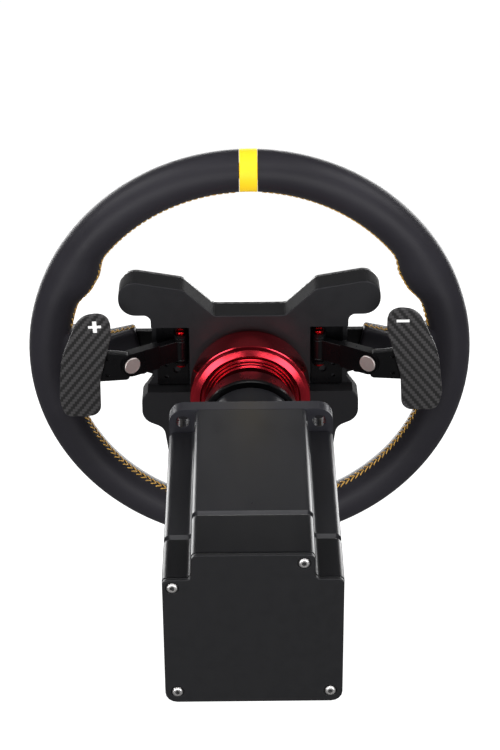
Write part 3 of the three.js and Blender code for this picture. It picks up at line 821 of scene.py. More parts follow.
BLACK_METAL = Anodised("black_anodised", (0.0048, 0.0047, 0.0054), 0.28, metallic=0.3, gloss=0.3)
HOUSING_METAL = Anodised("housing_anodised", (0.037, 0.037, 0.04), 0.5, metallic=0.8, gloss=0.3, edge=0.2)
GREY_METAL = Anodised("grey_anodised", (0.019, 0.019, 0.0225), 0.3, metallic=0.3, gloss=0.55)
# a lighter copy of the grey anodised: painted light, the colour raised so the flange's top faces read
# brighter
FLANGE_LIT_GREY = Anodised("flange_lit_grey", (0.033, 0.033, 0.041), 0.3, metallic=0.3)
# a darker copy of the grey anodised: painted shade, the colour lowered so the controller housing reads darker
CONTROLLER_SHADED_GREY = Anodised("controller_shaded_grey", (0.0085, 0.0085, 0.0102), 0.3, metallic=0.3, gloss=0.4)
# a lighter copy of the black anodised: painted light, the colour raised so the rear cover reads brighter
COVER_LIT_BLACK = Anodised("cover_lit_black", (0.0235, 0.0235, 0.0255), 0.4, metallic=0.5, gloss=0.35)
RED_METAL = TurnedAnodised("red_anodised", (0.72, 0.035, 0.055), 0.22)
RED_CAP = TurnedAnodised("red_pin_anodised", (0.7, 0.015, 0.02), 0.2)
GRIP_LEATHER = Leather("grip_leather", (0.026, 0.0245, 0.0305), 0.45, gloss=0.2)
# the yellow stripe carries a painted glow: emission that paints extra light into it so it reads brighter
STRIPE_LEATHER = Leather("yellow_leather", (1.0, 0.67, 0.02), 0.5, 0.12, painted_glow=0.36)
STITCH_THREAD = Thread("stitch_thread", (1.0, 0.56, 0.09), 0.6)
TWILL_RIGHT = CarbonTwill("carbon_twill_right", (0.068, 0.065, 0.067), 0.34, lean=-1)
TWILL_LEFT = CarbonTwill("carbon_twill_left", (0.068, 0.065, 0.067), 0.34, lean=1)
TWILL_PANEL = CarbonTwill("carbon_twill_panel", (0.07, 0.07, 0.072), 0.3, tow=1.8)
STEEL = BareMetal("brushed_steel", (0.95, 0.86, 0.83), 0.55)
SCREW_STEEL = BareMetal("screw_steel", (0.88, 0.86, 0.85), 0.34)
COPPER = BareMetal("enamelled_copper", (0.6, 0.22, 0.09), 0.35)
BOARD = Moulded("circuit_board", (0.012, 0.075, 0.035), 0.45)
BLACK_PLASTIC = Moulded("black_plastic", (0.012, 0.012, 0.013), 0.45)
RED_PLASTIC = Moulded("red_button_plastic", (0.45, 0.012, 0.018), 0.3)
YELLOW_PLASTIC = Moulded("yellow_button_plastic", (0.75, 0.42, 0.02), 0.3)
# the white marks carry a painted glow: emission that paints extra light into them so they read brighter
WHITE_INLAY = Moulded("white_inlay", (0.95, 0.95, 0.94), 0.4, painted_glow=0.3)
FLOOR_PAINT = PaleFloor("floor_paint", (0.13, 0.13, 0.13), 0.9)


def install(obj: Piece, finish: Finish, body: str, slot: str, *nodes: str) -> Piece:
    """Dresses a finished piece and ties it to the model.

    Args:
        obj: The piece, in place.
        finish: Its finish.
        body: The body it moves with.
        slot: The record's material slot it stands for; not used.
        nodes: The CAD nodes it replaces.

    Returns:
        The piece.
    """
    finish.dress(obj)
    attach(obj, body)
    if nodes:
        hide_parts(*nodes)
    log.info("%s: %d faces on %s", obj.name, len(obj.data.polygons), body)
    return obj


# --- Motor base ---
@dataclass
class MotorBase:
    """The square motor: front flange, nose, motor housing, controller housing and rear cover."""

    half: float = 53.0
    notch: float = 17.0
    edge: float = 3.8
    chamfer: float = 2.2
    flange: float = 10.0
    hole_offset: float = 44.0
    motor_end: float = 130.0
    length: float = 174.2
    cover: float = 3.0
    nose: float = 31.0
    bearing_seat: float = 26.3
    stator_bore: float = 47.0
    wall: float = 3.0
    screw_head: float = 3.4
    socket_reach: float = 7.7
    screws: tuple[Point, ...] = ((47.0, 30.3), (-29.4, 47.0), (45.5, -45.0), (-45.5, -45.0))
    socket_station: float = 151.0
    sockets: dict[str, float] = field(default_factory=lambda: {"power": 14.0, "usb": -6.0, "pedal": -27.0})

    def section(self, half: float, notched_below: bool) -> list[Point]:
        """The housing's outline.

        Args:
            half: Half its width, mm.
            notched_below: Whether the lower corners are notched too.

        Returns:
            The outline's points.
        """
        step = half - self.notch
        corners: list[Corner] = [(step, half, self.edge), (step, step, 3.0), (half, step, self.edge)]
        if notched_below:
            corners += [(half, -step, self.edge), (step, -step, 3.0), (step, -half, self.edge)]
        else:
            corners += [(half, -half, 7.0)]
        return rounded(both_sides(corners), 0.4)

    def build(self) -> None:
        """Builds and dresses every piece of the base."""
        self.build_flange()
        self.build_nose()
        self.build_motor()
        self.build_controller()
        self.build_cover()
        self.build_sockets()

    def build_flange(self) -> None:
        """The front flange, with a bolt hole in each corner."""
        corners = both_sides([(self.half, self.half, 10.0), (self.half, -self.half, 10.0)])
        plate = traced("flange_plate", rounded(corners, FINE_ARC), 0.0, self.flange)
        tools = [rod("seat", self.nose + 3.3, -2, 14, (0, 0), sides=96)]
        for x in (-self.hole_offset, self.hole_offset):
            for z in (-self.hole_offset, self.hole_offset):
                tools.append(rod("bolt_hole", 4.3, -2, 14, (x, z)))
        cut(plate, *tools)
        polish(soften(plate, 0.9))
        # the flange wears the lighter copy of the grey anodised, painted light
        install(plate, FLANGE_LIT_GREY, "base", "grey_anodised", "front_flange")

    def build_nose(self) -> None:
        """The turned nose that holds the front bearing."""
        r, shoulder, seat = self.nose, self.flange + GAP, self.bearing_seat
        profile = [(14, -57), (r - 1.2, -57), (r, -55.8), (r, -6), (r + 1.2, -2.6), (r + 3, -1.0)]
        profile += [(r + 3, shoulder), (r + 9, shoulder), (r + 9, 14), (seat, 14), (seat, -52), (14, -52)]
        nose = turned("nose_sleeve", profile, hollow=True)
        polish(soften(nose, 0.35, 2, 50))
        install(nose, GREY_METAL, "base", "grey_anodised", "nose_housing")

    def build_motor(self) -> None:
        """The motor's notched housing, bored for the stator."""
        wall = self.motor_end - 9
        block = traced("motor_shell", self.section(self.half, True), self.flange + GAP, self.motor_end)
        cut(
            block,
            rod("stator_bore", self.stator_bore, 8, wall, (0, 0), sides=96),
            rod("bearing_bore", 16.3, wall - 2, self.motor_end + 2, (0, 0), sides=64),
        )
        polish(soften(chamfered(block, self.motor_end, self.chamfer), PLATE_EDGE, 2, 40))
        install(block, GREY_METAL, "base", "grey_anodised", "motor_housing")

    def build_controller(self) -> None:
        """The controller's housing, hollow, with openings for its sockets."""
        front, rear = self.motor_end + GAP, self.length - self.cover - GAP
        shell = traced("controller_shell", self.section(self.half, False), front, rear)
        soften(chamfered(shell, front, self.chamfer), PLATE_EDGE, 2, 40)
        inner, step = self.half - self.wall, self.half - self.notch - self.wall
        corners = [(step, inner, 2.0), (step, step, 2.0), (inner, step, 2.0), (inner, -inner, 5.0)]
        tools = [traced("cavity", rounded(both_sides(corners), 0.4), front - 1, rear + 1)]
        y = self.socket_station
        for z in self.sockets.values():
            tools.append(brick("socket_opening", (inner - 1, y - 8, z - 8), (self.half + 1, y + 8, z + 8)))
        polish(cut(shell, *tools))
        # the controller wears the darker copy of the grey anodised, painted shade
        install(shell, CONTROLLER_SHADED_GREY, "base", "grey_anodised", "controller_housing")

    def build_cover(self) -> None:
        """The rear cover and its four button-head screws."""
        low = self.length - self.cover
        plate = traced("cover_plate", self.section(self.half - 0.2, False), low, self.length)
        soften(plate, 0.5, 3, 50)
        tools = []
        for place in self.screws:
            tools.append(rod("screw_hole", 1.8, low - 1, self.length + 1, place, sides=24))
            sink = [(3.9, self.length - 1.9), (3.9, self.length - 0.3), (4.5, self.length + 0.3)]
            tools.append(turned("counterbore", sink, place, segments=40))
        polish(cut(plate, *tools))
        # the cover wears the lighter copy of the black anodised, painted light
        install(plate, COVER_LIT_BLACK, "base", "black_anodised", "rear_cover")
        for number, place in enumerate(self.screws, 1):
            self.build_screw(number, place)

    def build_screw(self, number: int, place: Point) -> None:
        """One of the cover's screws, with its hexagon socket and a black plug of painted shade in the
        socket's bottom.

        Args:
            number: The screw's number in the model.
            place: Where it stands on the cover, mm.
        """
        seat, top = self.length - 1.6, self.length + 0.8
        r = self.screw_head
        profile = [(1.45, seat - 10), (1.45, seat), (r, seat), (r, top - 1.1), (3.1, top - 0.5)]
        profile += [(2.5, top - 0.12), (2.0, top)]
        screw = turned(f"cover_screw_head_{number}", profile, place, segments=40)
        cut(screw, rod("hexagon", 1.5, top - 2.2, top + 1, place, sides=6))
        polish(screw)
        # painted shade: a black plug fills the hexagon's bottom, dark where the deep socket would only be in
        # shade
        floor = rod(f"hexagon_floor_{number}", 1.35, top - 2.1, top - 0.9, place, sides=6)
        install(polish(floor), BLACK_PLASTIC, "base", "black_anodised")
        install(screw, SCREW_STEEL, "base", "bare_steel", f"cover_screw_{number}")

    def build_sockets(self) -> None:
        """The three sockets in the right-hand wall, with their contacts."""
        y, face, reach = self.socket_station, self.half - 0.4, self.socket_reach
        for name, z in self.sockets.items():
            low, high = (face - 12, y - reach, z - reach), (face, y + reach, z + reach)
            body = brick(f"{name}_socket_body", low, high)
            soften(body, 0.6, 2)
            if name == "power":
                cut(body, rod("mouth", 5.6, face - 10, face + 1, (y, z), Axis.X, 40))
                pin = [(1.2, face - 10.5), (1.2, face - 2.6), (0.7, face - 2)]
                fuse(body, turned("pin", pin, (y, z), Axis.X, 20))
            elif name == "usb":
                cut(body, brick("mouth", (face - 10, y - 4.6, z - 4.2), (face + 1, y + 4.6, z + 4.2)))
                fuse(body, brick("tongue", (face - 10.5, y - 2.8, z - 1.6), (face - 1.6, y + 2.8, z + 1.6)))
            else:
                cut(body, brick("mouth", (face - 10, y - 6.0, z - 3.5), (face + 1, y + 6.0, z + 3.5)))
                for k in range(6):
                    place = y - 4.4 + 1.76 * k
                    low, high = (face - 10.5, place - 0.3, z + 1.4), (face - 3, place + 0.3, z + 2.2)
                    fuse(body, brick("contact", low, high))
            install(polish(body), BLACK_PLASTIC, "base", "black_plastic", f"{name}_socket")


# --- Quick release ---
@dataclass
class QuickRelease:
    """The red quick release between the shaft and the wheel, in stations from the rim's plane."""

    collar: float = 42.0
    barrel: float = 34.3
    spigot: float = 25.0
    bore: float = 12.8
    front: float = 38.3

    def build(self) -> None:
        """Builds and dresses the hub, the barrel and the collar."""
        b, s, r, f = self.bore, self.spigot, self.barrel, self.front
        hub = [(b, 50), (s - 2, 50), (s, 52), (s, 56), (s - 1.5, 57.5), (s - 1.5, 60.5), (s, 62), (s, 78)]
        hub += [(29, 80), (29, 83.6), (31.6, 83.6), (32.5, 84.4), (34.0, 97.6), (34.3, 98.4), (34.3, 101.2)]
        hub += [(33.8, 101.7), (b, 101.7)]
        self.lathe("quick_release_spigot", hub, BLACK_METAL, "shaft", "black_anodised", "quick_release_hub")
        inside = s + GAP
        body = [(inside, f), (38.9, f), (39.5, f + 0.6), (39.5, f + 4.9), (38.9, f + 5.5), (r, f + 5.5)]
        body += [(r, 67.2), (34.0, 67.5), (32.5, 67.5), (32.2, 67.8), (32.1, 68.7), (31.9, 68.9)]
        body += [(30.8, 68.9), (30.5, 69.1), (30.4, 69.9), (30.2, 70.1), (28.9, 70.1), (28.6, 70.4)]
        body += [(28.5, 71.2), (28.3, 71.4), (inside, 71.4)]
        self.lathe("quick_release_barrel", body, RED_METAL, "wheel", "red_anodised", "quick_release_body")
        c, lip = self.collar, r + 0.4
        ring = [(39.9, 44.5), (c - 0.5, 44.5), (c, 45), (c, 65.7), (c - 0.4, 66.3), (c - 0.9, 66.4)]
        ring += [(39.3, 66.4), (38.9, 66.5), (lip + 0.5, 68.1), (lip, 68.0), (lip, 60), (39.9, 57)]
        name, node = "quick_release_grip_ring", "quick_release_collar"
        self.lathe(name, ring, RED_METAL, "collar", "red_anodised", node)

    def lathe(
        self,
        name: str,
        profile: Sequence[Point],
        finish: Finish,
        body: str,
        slot: str,
        node: str,
    ) -> None:
        """Turns one piece and installs it.

        Args:
            name: The piece's name.
            profile: Radius and station from the rim's plane of each ring, mm.
            finish: Its finish.
            body: The body it moves with.
            slot: Its material slot.
            node: The node it replaces.
        """
        piece = turned(name, moved_along(profile, WHEEL_PLANE), segments=160, hollow=True)
        polish(piece, 20, weighted=False)
        install(piece, finish, body, slot, node)


# --- Rim, cuffs and stitching ---
@dataclass
class Rim:
    """The leather-covered rim with its thumb rests, cuffs, top stripe and stitched seam."""

    radius: float = 145.0
    grip: float = 15.0
    bump: float = 5.2
    bump_angle: float = 28.5
    stripe: float = 12.5
    dish: float = 13.7
    bend: float = 58.0
    spoke_slope: float = 0.25
    voxel: float = 1.25
    seam_lean: float = 12.0
    stitch_pitch: float = 4.4
    stitch_width: float = 5.6
    thread: float = 0.42
    fall: float = 0.033

    def thumb_rest(self, point: Vector) -> Vector:
        """Moves a point of the plain ring inwards where the thumb rests are."""
        x, z = point.x / MM, point.z / MM
        radius = math.hypot(x, z)
        away = abs(math.degrees(math.atan2(z, abs(x))) - self.bump_angle)
        part = max(0.0, min(1.0, (10.0 - away) / 8.0))
        rise = part * part * (3 - 2 * part)
        inward = max(0.0, min(1.0, (self.radius + self.grip - radius) / (2 * self.grip)))
        scale = (radius - rise * inward * self.bump) / radius
        return Vector((point.x * scale, point.y, point.z * scale))

    def ring(self, name: str, steps: int, sides: int) -> Piece:
        """Makes the plain ring with its thumb rests, and returns it."""
        release()
        bpy.ops.mesh.primitive_torus_add(
            major_segments=steps,
            minor_segments=sides,
            major_radius=self.radius * MM,
            minor_radius=self.grip * MM,
            location=(0, WHEEL_PLANE * MM, 0),
            rotation=(math.pi / 2, 0, 0),
        )
        bpy.context.object.name = name
        return face_outwards(reshaped(settle(bpy.context.object), self.thumb_rest))

    def cuff(self, end: float, corners: Sequence[Corner]) -> Piece:
        """Makes the leather that runs from the grip onto a spoke pointing at +X.

        Args:
            end: How near to the middle it comes, mm.
            corners: Its outline seen along the shaft.

        Returns:
            The cuff.
        """
        lean = self.dish - (end - self.bend) * self.spoke_slope
        plan = [(end, lean - 4.5, 2), (118, -11, 6), (138, -11, 0)]
        plan += [(138, 11, 0), (118, 11, 6), (end, lean + 4.5, 2)]
        plan = [(x, y + WHEEL_PLANE, r) for x, y, r in plan]
        side = traced("cuff_side", rounded(corners), WHEEL_PLANE - 40, WHEEL_PLANE + 40, Axis.Y)
        top = traced("cuff_top", rounded(plan), -60, 60, Axis.Z)
        return soften(combine(top, [side], "INTERSECT"), 1.6, 2, 60)

    def build(self) -> None:
        """Builds and dresses the grip, the stripe and the stitches."""
        self.build_grip()
        self.build_stripe()
        self.build_seam()
        self.build_cuff_stitches()

    def build_grip(self) -> None:
        """The leather grip: ring and cuffs drawn together as one skin, open at the top for the stripe."""
        grip = self.ring("leather_grip", 160, 28)
        corners = [(82, 27.5, 2), (104, 18.5, 12), (139, 22, 0), (139, -19, 0), (104, -11, 12), (74, -9.5, 2)]
        right = self.cuff(70, corners)
        left = mirrored(copied(right, "cuff_left"), Side.LEFT)
        corners = [(92, 19, 2), (110, 19, 12), (139, 30, 0), (139, -30, 0), (110, -19, 12), (92, -19, 2)]
        lower = swung(self.cuff(92, corners), math.pi / 2, Axis.Y, Vector())
        fuse(grip, right, left, lower)
        applied(grip, "REMESH", mode="VOXEL", voxel_size=self.voxel * MM)
        applied(grip, "SMOOTH", factor=0.5, iterations=8)
        half = self.stripe / 2 + 0.25
        y = WHEEL_PLANE
        cut(grip, brick("stripe_slot", (-half, y - 30, 100), (half, y + 30, 200)))
        polish(grip, 50, weighted=False)
        install(grip, GRIP_LEATHER, "wheel", "grip_leather", "rim_grip")

    def build_stripe(self) -> None:
        """The yellow band at the top, a slice of the ring with rolled edges."""
        band = self.ring("stripe_band", 400, 48)
        half = self.stripe / 2
        with editing(band):
            for side in (-1, 1):
                bpy.ops.mesh.select_all(action="SELECT")
                bpy.ops.mesh.bisect(
                    plane_co=(side * half * MM, 0, 0),
                    plane_no=(side, 0, 0),
                    use_fill=True,
                    clear_outer=True,
                )
            bpy.ops.mesh.select_all(action="SELECT")
            bpy.ops.mesh.bisect(plane_co=(0, 0, 0), plane_no=(0, 0, -1), clear_outer=True)
        face_outwards(band)
        polish(soften(band, 0.5, 3, 60), 50, weighted=False)
        install(band, STRIPE_LEATHER, "wheel", "yellow_leather", "centre_stripe")

    def stitch(self, name: str, place: Vector, out: Vector, along: Vector) -> Piece:
        """Makes one crossed stitch.

        Args:
            name: Its name.
            place: Its middle, on the leather, metres.
            out: The way out of the leather.
            along: The way the seam runs.

        Returns:
            The stitch.
        """
        width, pitch = self.stitch_width * MM, self.stitch_pitch * MM
        across = out.cross(along)
        strands = []
        for sign in (-1, 1):
            reach = (across * (sign * width / 2) + along * pitch) / 2
            middle = place + across * (sign * width / 4)
            release()
            bpy.ops.mesh.primitive_cylinder_add(
                vertices=6,
                radius=self.thread * MM,
                depth=reach.length * 2,
                location=(0, 0, 0),
            )
            strand = bpy.context.object
            with editing(strand):
                for part in (-0.6, 0.6):
                    bpy.ops.mesh.select_all(action="SELECT")
                    bpy.ops.mesh.bisect(plane_co=(0, 0, reach.length * part), plane_no=(0, 0, 1))
            turn = reach.to_track_quat("Z", "X").to_matrix().to_4x4()
            strand.matrix_world = Matrix.Translation(middle) @ turn
            settle(strand)
            for vertex in strand.data.vertices:
                end = abs((vertex.co - middle).dot(reach.normalized())) / reach.length
                off = (vertex.co - place).dot(across) / MM
                vertex.co -= out * MM * (max(0.0, end - 0.6) * 1.3 - 0.15 + self.fall * off * off)
            strands.append(strand)
        return joined(strands, name)

    def build_seam(self) -> None:
        """The seam round the inside of the rim, left out where the cuffs and the stripe cover it."""
        inner = self.radius - self.grip
        count = round(math.tau * inner / self.stitch_pitch)
        lean = math.radians(self.seam_lean)
        out = Vector((-math.cos(lean), math.sin(lean), 0))
        place = Vector((self.radius, WHEEL_PLANE, 0)) * MM + out * self.grip * MM
        seam = self.stitch("rim_stitches", place, out, Vector((0, 0, 1)))
        size = len(seam.data.vertices)
        ringed(seam, count - 1, math.tau * (count - 1) / count)
        reshaped(seam, self.thumb_rest)
        keep = []
        for start in range(0, len(seam.data.vertices), size):
            points = [seam.data.vertices[start + k].co for k in range(size)]
            middle = sum(points, Vector()) / size
            angle = math.degrees(math.atan2(middle.z, abs(middle.x)))
            covered = -9.0 < angle < 10.5 or angle < -76.0 or angle > 90 - 3.2
            keep.extend([not covered] * size)
        pick(seam)
        bpy.ops.object.mode_set(mode="EDIT")
        bpy.ops.mesh.select_all(action="DESELECT")
        bpy.ops.object.mode_set(mode="OBJECT")
        for vertex, kept in zip(seam.data.vertices, keep):
            vertex.select = not kept
        bpy.ops.object.mode_set(mode="EDIT")
        bpy.ops.mesh.delete(type="VERT")
        bpy.ops.object.mode_set(mode="OBJECT")
        pick(seam)
        bpy.ops.object.shade_smooth()
        install(seam, STITCH_THREAD, "wheel", "yellow_leather")

    def run(self, name: str, start: Vector, end: Vector, out: Vector) -> Piece:
        """Makes a straight run of stitches.

        Args:
            name: Its name.
            start: Its first stitch's place, mm.
            end: Its last stitch's place, mm.
            out: The way out of the leather.

        Returns:
            The run.
        """
        way = (end - start) * MM
        along = way.normalized()
        square = (out - along * out.dot(along)).normalized()
        first = self.stitch(name, start * MM, square, along)
        count = max(2, round(way.length / (self.stitch_pitch * MM)) + 1)
        return applied(
            first,
            "ARRAY",
            count=count,
            use_relative_offset=False,
            use_constant_offset=True,
            constant_offset_displace=way / (count - 1),
        )

    def build_cuff_stitches(self) -> None:
        """The stitching along the cuffs' edges."""
        y = WHEEL_PLANE
        upright = (
            ("a", (84.5, y + 7.1, 26.2), (103, y + 2.5, 18.9), 1),
            ("b", (106, y + 1.9, 19.0), (127, y, 21.2), 1),
            ("c", (77, y + 8.8, -9.6), (102, y + 2.6, -10.9), -1),
            ("d", (106, y + 1.9, -11.4), (127, y, -16.0), -1),
        )
        runs = [
            self.run(f"cuff_stitch_{letter}", Vector(start), Vector(end), Vector((0, 0, out)))
            for letter, start, end, out in upright
        ]
        lefts = [mirrored(copied(run, f"{run.name}_left"), Side.LEFT) for run in runs]
        sides = []
        for x, low, flare in ((1, "e", "g"), (-1, "f", "h")):
            out = Vector((x, 0, 0))
            start, end = Vector((19 * x, y + 5.0, -94)), Vector((19 * x, y + 1.0, -110))
            sides.append(self.run(f"cuff_stitch_{low}", start, end, out))
            start, end = Vector((20.5 * x, y, -113)), Vector((26.5 * x, y, -127))
            sides.append(self.run(f"cuff_stitch_{flare}", start, end, out))
        stitches = joined([*runs, *lefts, *sides], "cuff_stitches")
        bpy.ops.object.shade_smooth()
        install(stitches, STITCH_THREAD, "wheel", "yellow_leather")


# --- Spoke frame, bolts and cap ---
@dataclass
class SpokeFrame:
    """The dished metal frame, its six bolts and the cap over its middle."""

    thickness: float = 4.0
    dish: float = 13.7
    hub: float = 42.0
    reach: float = 138.7
    bolts: int = 6
    bolt_circle: float = 35.0
    bolt_hole: float = 2.75

    @property
    def front(self) -> float:
        """The station of the hub's front face, mm."""
        return WHEEL_PLANE + self.dish - self.thickness / 2

    def bolt_places(self) -> list[Point]:
        """Where the bolts stand round the shaft."""
        r, turns = self.bolt_circle, [math.pi / 6 + math.tau * i / self.bolts for i in range(self.bolts)]
        return [(r * math.cos(turn), r * math.sin(turn)) for turn in turns]

    def bolt_tools(self, low: float, high: float) -> list[Piece]:
        """Rods that drill the bolt circle between two stations."""
        r, places = self.bolt_hole, self.bolt_places()
        return [rod("bolt_drill", r, low, high, place, sides=24) for place in places]

    def strip(self) -> Piece:
        """The pair of side spokes' dished section, as a wide strip."""
        t, dish = self.thickness / 2, self.dish
        half = [(58, dish - t, 6), (112, -t, 6), (self.reach, -t, 0), (self.reach, t, 0)]
        half += [(112 + t / 2, t, 6), (58 + t / 2, dish + t, 6)]
        corners = [(x, y + WHEEL_PLANE, radius) for x, y, radius in half]
        return traced("dished_strip", rounded(both_sides(corners)), -60, 60, Axis.Z)

    def build(self) -> None:
        """Builds and dresses the frame, the bolts and the cap."""
        half = [(30, 31, 6), (62, 27, 20), (84, 24, 8), (104, 14.5, 12), (141, 17, 0)]
        half += [(141, -14, 0), (104, -7.5, 12), (84, -6.5, 8), (62, -11, 14), (30, -31, 6)]
        low, high = WHEEL_PLANE - 30, WHEEL_PLANE + 40
        outline = traced("side_outline", rounded(both_sides(half)), low, high)
        sides = combine(self.strip(), [outline], "INTERSECT")
        down = [(24, 20, 0), (24, -50, 16), (17, -80, 30), (22, -141, 0)]
        spoke = swung(self.strip(), math.pi / 2, Axis.Y, Vector())
        spoke = combine(spoke, [traced("lower_outline", rounded(both_sides(down)), low, high)], "INTERSECT")
        disc = rod("hub_disc", self.hub, self.front, self.front + self.thickness, (0, 0), sides=96)
        made = fuse(disc, sides, spoke)
        tools = [rod("middle_hole", 15.3, low, high, (0, 0), sides=48), *self.bolt_tools(low, high)]
        for x in (-72, 72):
            window = [(x - 9, 10, 4), (x + 9, 10, 4), (x + 9, 0, 4), (x - 9, 0, 4)]
            tools.append(traced("window", rounded(window), low, high))
        cut(made, *tools)
        made.name = "spoke_plate"
        polish(soften(made, 0.45, 2, 50))
        install(made, BLACK_METAL, "wheel", "black_anodised", "spoke_frame")
        self.build_bolts()
        self.build_cap()

    def build_bolts(self) -> None:
        """The six bolts that hold the wheel's pieces together, each with a hexagon socket."""
        head = self.front - GAP
        r = self.bolt_hole - 0.35
        end = WHEEL_PLANE + 42.6
        for number, place in enumerate(self.bolt_places(), 1):
            profile = [(3, head - 2.6), (4.0, head - 2.3), (4.6, head - 1.6), (4.6, head)]
            profile += [(r, head), (r, end)]
            bolt = turned(f"hub_bolt_head_{number}", profile, place, segments=32)
            cut(bolt, rod("hexagon", 1.9, head - 4, head - 1.0, place, sides=6))
            install(polish(bolt), SCREW_STEEL, "wheel", "bare_steel", f"hub_bolt_{number}")

    def build_cap(self) -> None:
        """The cap over the frame's middle, as seen by the driver."""
        profile = [(16.5, -3.4), (17.0, -4), (21.6, -4), (23.4, -3.2), (24, -2), (24, 0), (15, 0), (15, 4)]
        cap = turned("hub_cap", moved_along(profile, self.front - GAP), segments=96)
        install(polish(cap), BLACK_METAL, "wheel", "black_anodised", "centre_cap")


# --- Button box ---
@dataclass
class ButtonBox:
    """The housing behind the wheel, its front panel and the controls on it."""

    outline: tuple[Corner, ...] = (
        (25, 51, 5),
        (46.5, 71.5, 8),
        (91.5, 79.5, 12),
        (91.5, 51.3, 12),
        (69.3, 51.3, 5),
        (69.3, -5, 4),
        (77.3, -16, 6),
        (77.5, -33, 11),
        (62, -40, 9),
        (59, -62, 12),
        (46, -78, 12),
    )
    wall: float = 2.5
    shaft_hole: float = 10.0
    front: float = 19.0
    rear: float = 38.0
    recess: tuple[float, float, float, float] = (42.5, -10.4, 41.8, 12.0)
    recess_end: float = 82.0
    hub_boss: float = 41.0
    panel: tuple[float, float] = (16.0, 18.7)
    buttons: tuple[tuple[str, float, float], ...] = (("outer", 80, 64), ("upper", 62, 62), ("lower", 33, -62))
    button: float = 6.0
    knob: tuple[float, float, float] = (42.0, -43.0, 9.0)
    toggle: Point = (41.5, 51.0)

    def build(self, frame_piece: SpokeFrame) -> None:
        """Builds and dresses the housing, the panel and the controls.

        Args:
            frame_piece: The spoke frame, whose bolts pass through both.
        """
        self.build_housing(frame_piece)
        self.build_panel(frame_piece)
        for side in Side:
            self.build_controls(side)

    def shrunk(self, inset: float) -> list[Point]:
        """The housing's outline drawn in evenly by some mm."""
        points = rounded(both_sides(self.outline), FINE_ARC)
        count = len(points)
        pairs = zip(points, [*points[1:], points[0]])
        area = sum(here[0] * there[1] - there[0] * here[1] for here, there in pairs)
        turn = 1 if area < 0 else -1
        result = []
        for i, point in enumerate(points):
            before = (Vector(point) - Vector(points[i - 1])).normalized()
            after = (Vector(points[(i + 1) % count]) - Vector(point)).normalized()
            normal = Vector((before.y + after.y, -before.x - after.x)).normalized()
            reach = inset / max(0.5, math.sqrt((1 + before.dot(after)) / 2))
            result.append((point[0] + turn * reach * normal.x, point[1] + turn * reach * normal.y))
        return result

    def build_housing(self, frame_piece: SpokeFrame) -> None:
        """The hollow housing, with a recess for each paddle."""
        y = WHEEL_PLANE
        inner, low, high, depth = self.recess
        floor = self.rear - depth
        points = rounded(both_sides(self.outline), FINE_ARC)
        shell = traced("button_box_shell", points, y + self.front, y + self.rear)
        soften(shell, 0.7, 3, 50)
        cavity = traced("cavity", self.shrunk(self.wall), y + self.front - 1, y + self.rear - self.wall)
        cut(cavity, rod("hub_boss", self.hub_boss, y, y + 60, (0, 0), sides=72))
        tools = []
        for sign in (1, -1):
            walls = sorted((sign * (inner - self.wall), sign * (self.recess_end + 2)))
            reach = sorted((sign * inner, sign * self.recess_end))
            near = (walls[0], y + floor - self.wall, low - self.wall)
            cut(cavity, brick("walls", near, (walls[1], y + 60, high + self.wall)))
            tools.append(brick("recess", (reach[0], y + floor, low), (reach[1], y + 60, high)))
        tools += [cavity, rod("shaft_hole", self.shaft_hole, y, y + 60, (0, 0), sides=48)]
        tools += frame_piece.bolt_tools(y, y + 60)
        polish(cut(shell, *tools))
        install(shell, HOUSING_METAL, "wheel", "black_anodised", "wheel_housing")

    def build_panel(self, frame_piece: SpokeFrame) -> None:
        """The carbon front panel, drilled for the controls."""
        y = WHEEL_PLANE
        low, high = y + self.panel[0], y + self.panel[1]
        plate = traced("carbon_panel", self.shrunk(0.5), low, high)
        start, end = low - 5, high + 5
        tools = [rod("middle_hole", self.shaft_hole, start, end, (0, 0), sides=48)]
        tools += frame_piece.bolt_tools(start, end)
        holes = [("button_hole", self.button + 0.3, x, z) for _, x, z in self.buttons]
        holes += [("knob_hole", 3.3, *self.knob[:2]), ("toggle_hole", 4.0, *self.toggle)]
        for side in Side:
            tools += [rod(name, r, start, end, (side.value * x, z)) for name, r, x, z in holes]
        polish(soften(cut(plate, *tools), 0.35, 2))
        install(plate, TWILL_PANEL, "wheel", "carbon_fibre", "front_panel")

    def build_controls(self, side: Side) -> None:
        """The buttons, the knob and the toggle on one side.

        Args:
            side: Which side they are on.
        """
        y = WHEEL_PLANE
        front, rear = self.panel
        r = self.button
        for name, x, z in self.buttons:
            back = rear + GAP
            profile = [(r - 2.2, front - 3.5), (r - 1.6, front - 4), (r - 0.8, front - 3.9), (r, front - 3)]
            profile += [(r, back), (r + 1, back), (r + 1, back + 1), (2, back + 1), (2, 22.2)]
            place = (side.value * x, z)
            cap = turned(f"{name}_cap_{side.word}", moved_along(profile, y), place, segments=48)
            finish = YELLOW_PLASTIC if name == "upper" else RED_PLASTIC
            node = f"{name}_button_{side.word}"
            install(polish(cap), finish, node, "button_plastic", node)
        self.build_knob(side)
        self.build_toggle(side)

    def build_knob(self, side: Side) -> None:
        """A fluted rotary knob."""
        x, z, r = self.knob
        x *= side.value
        y = WHEEL_PLANE
        base = self.panel[0] - 0.6
        profile = [(r - 3.1, base - 14), (r - 2.1, base - 13.6), (r - 1.5, base - 12.8), (r - 1, base - 3.2)]
        profile += [(r - 0.2, base - 2.4), (r, base - 1.8), (r, base), (3, base), (3, 24)]
        knob = turned(f"rotary_cap_{side.word}", moved_along(profile, y), (x, z), segments=72)
        for i in range(16):
            angle = math.tau * (i + 0.5) / 16
            place = (x + (r - 0.85) * math.sin(angle), z + (r - 0.85) * math.cos(angle))
            cut(knob, rod("flute", 0.75, y + base - 15, y + base - 3.4, place, sides=12))
        node = f"rotary_knob_{side.word}"
        install(polish(knob, 30), BLACK_PLASTIC, node, "black_plastic", node)

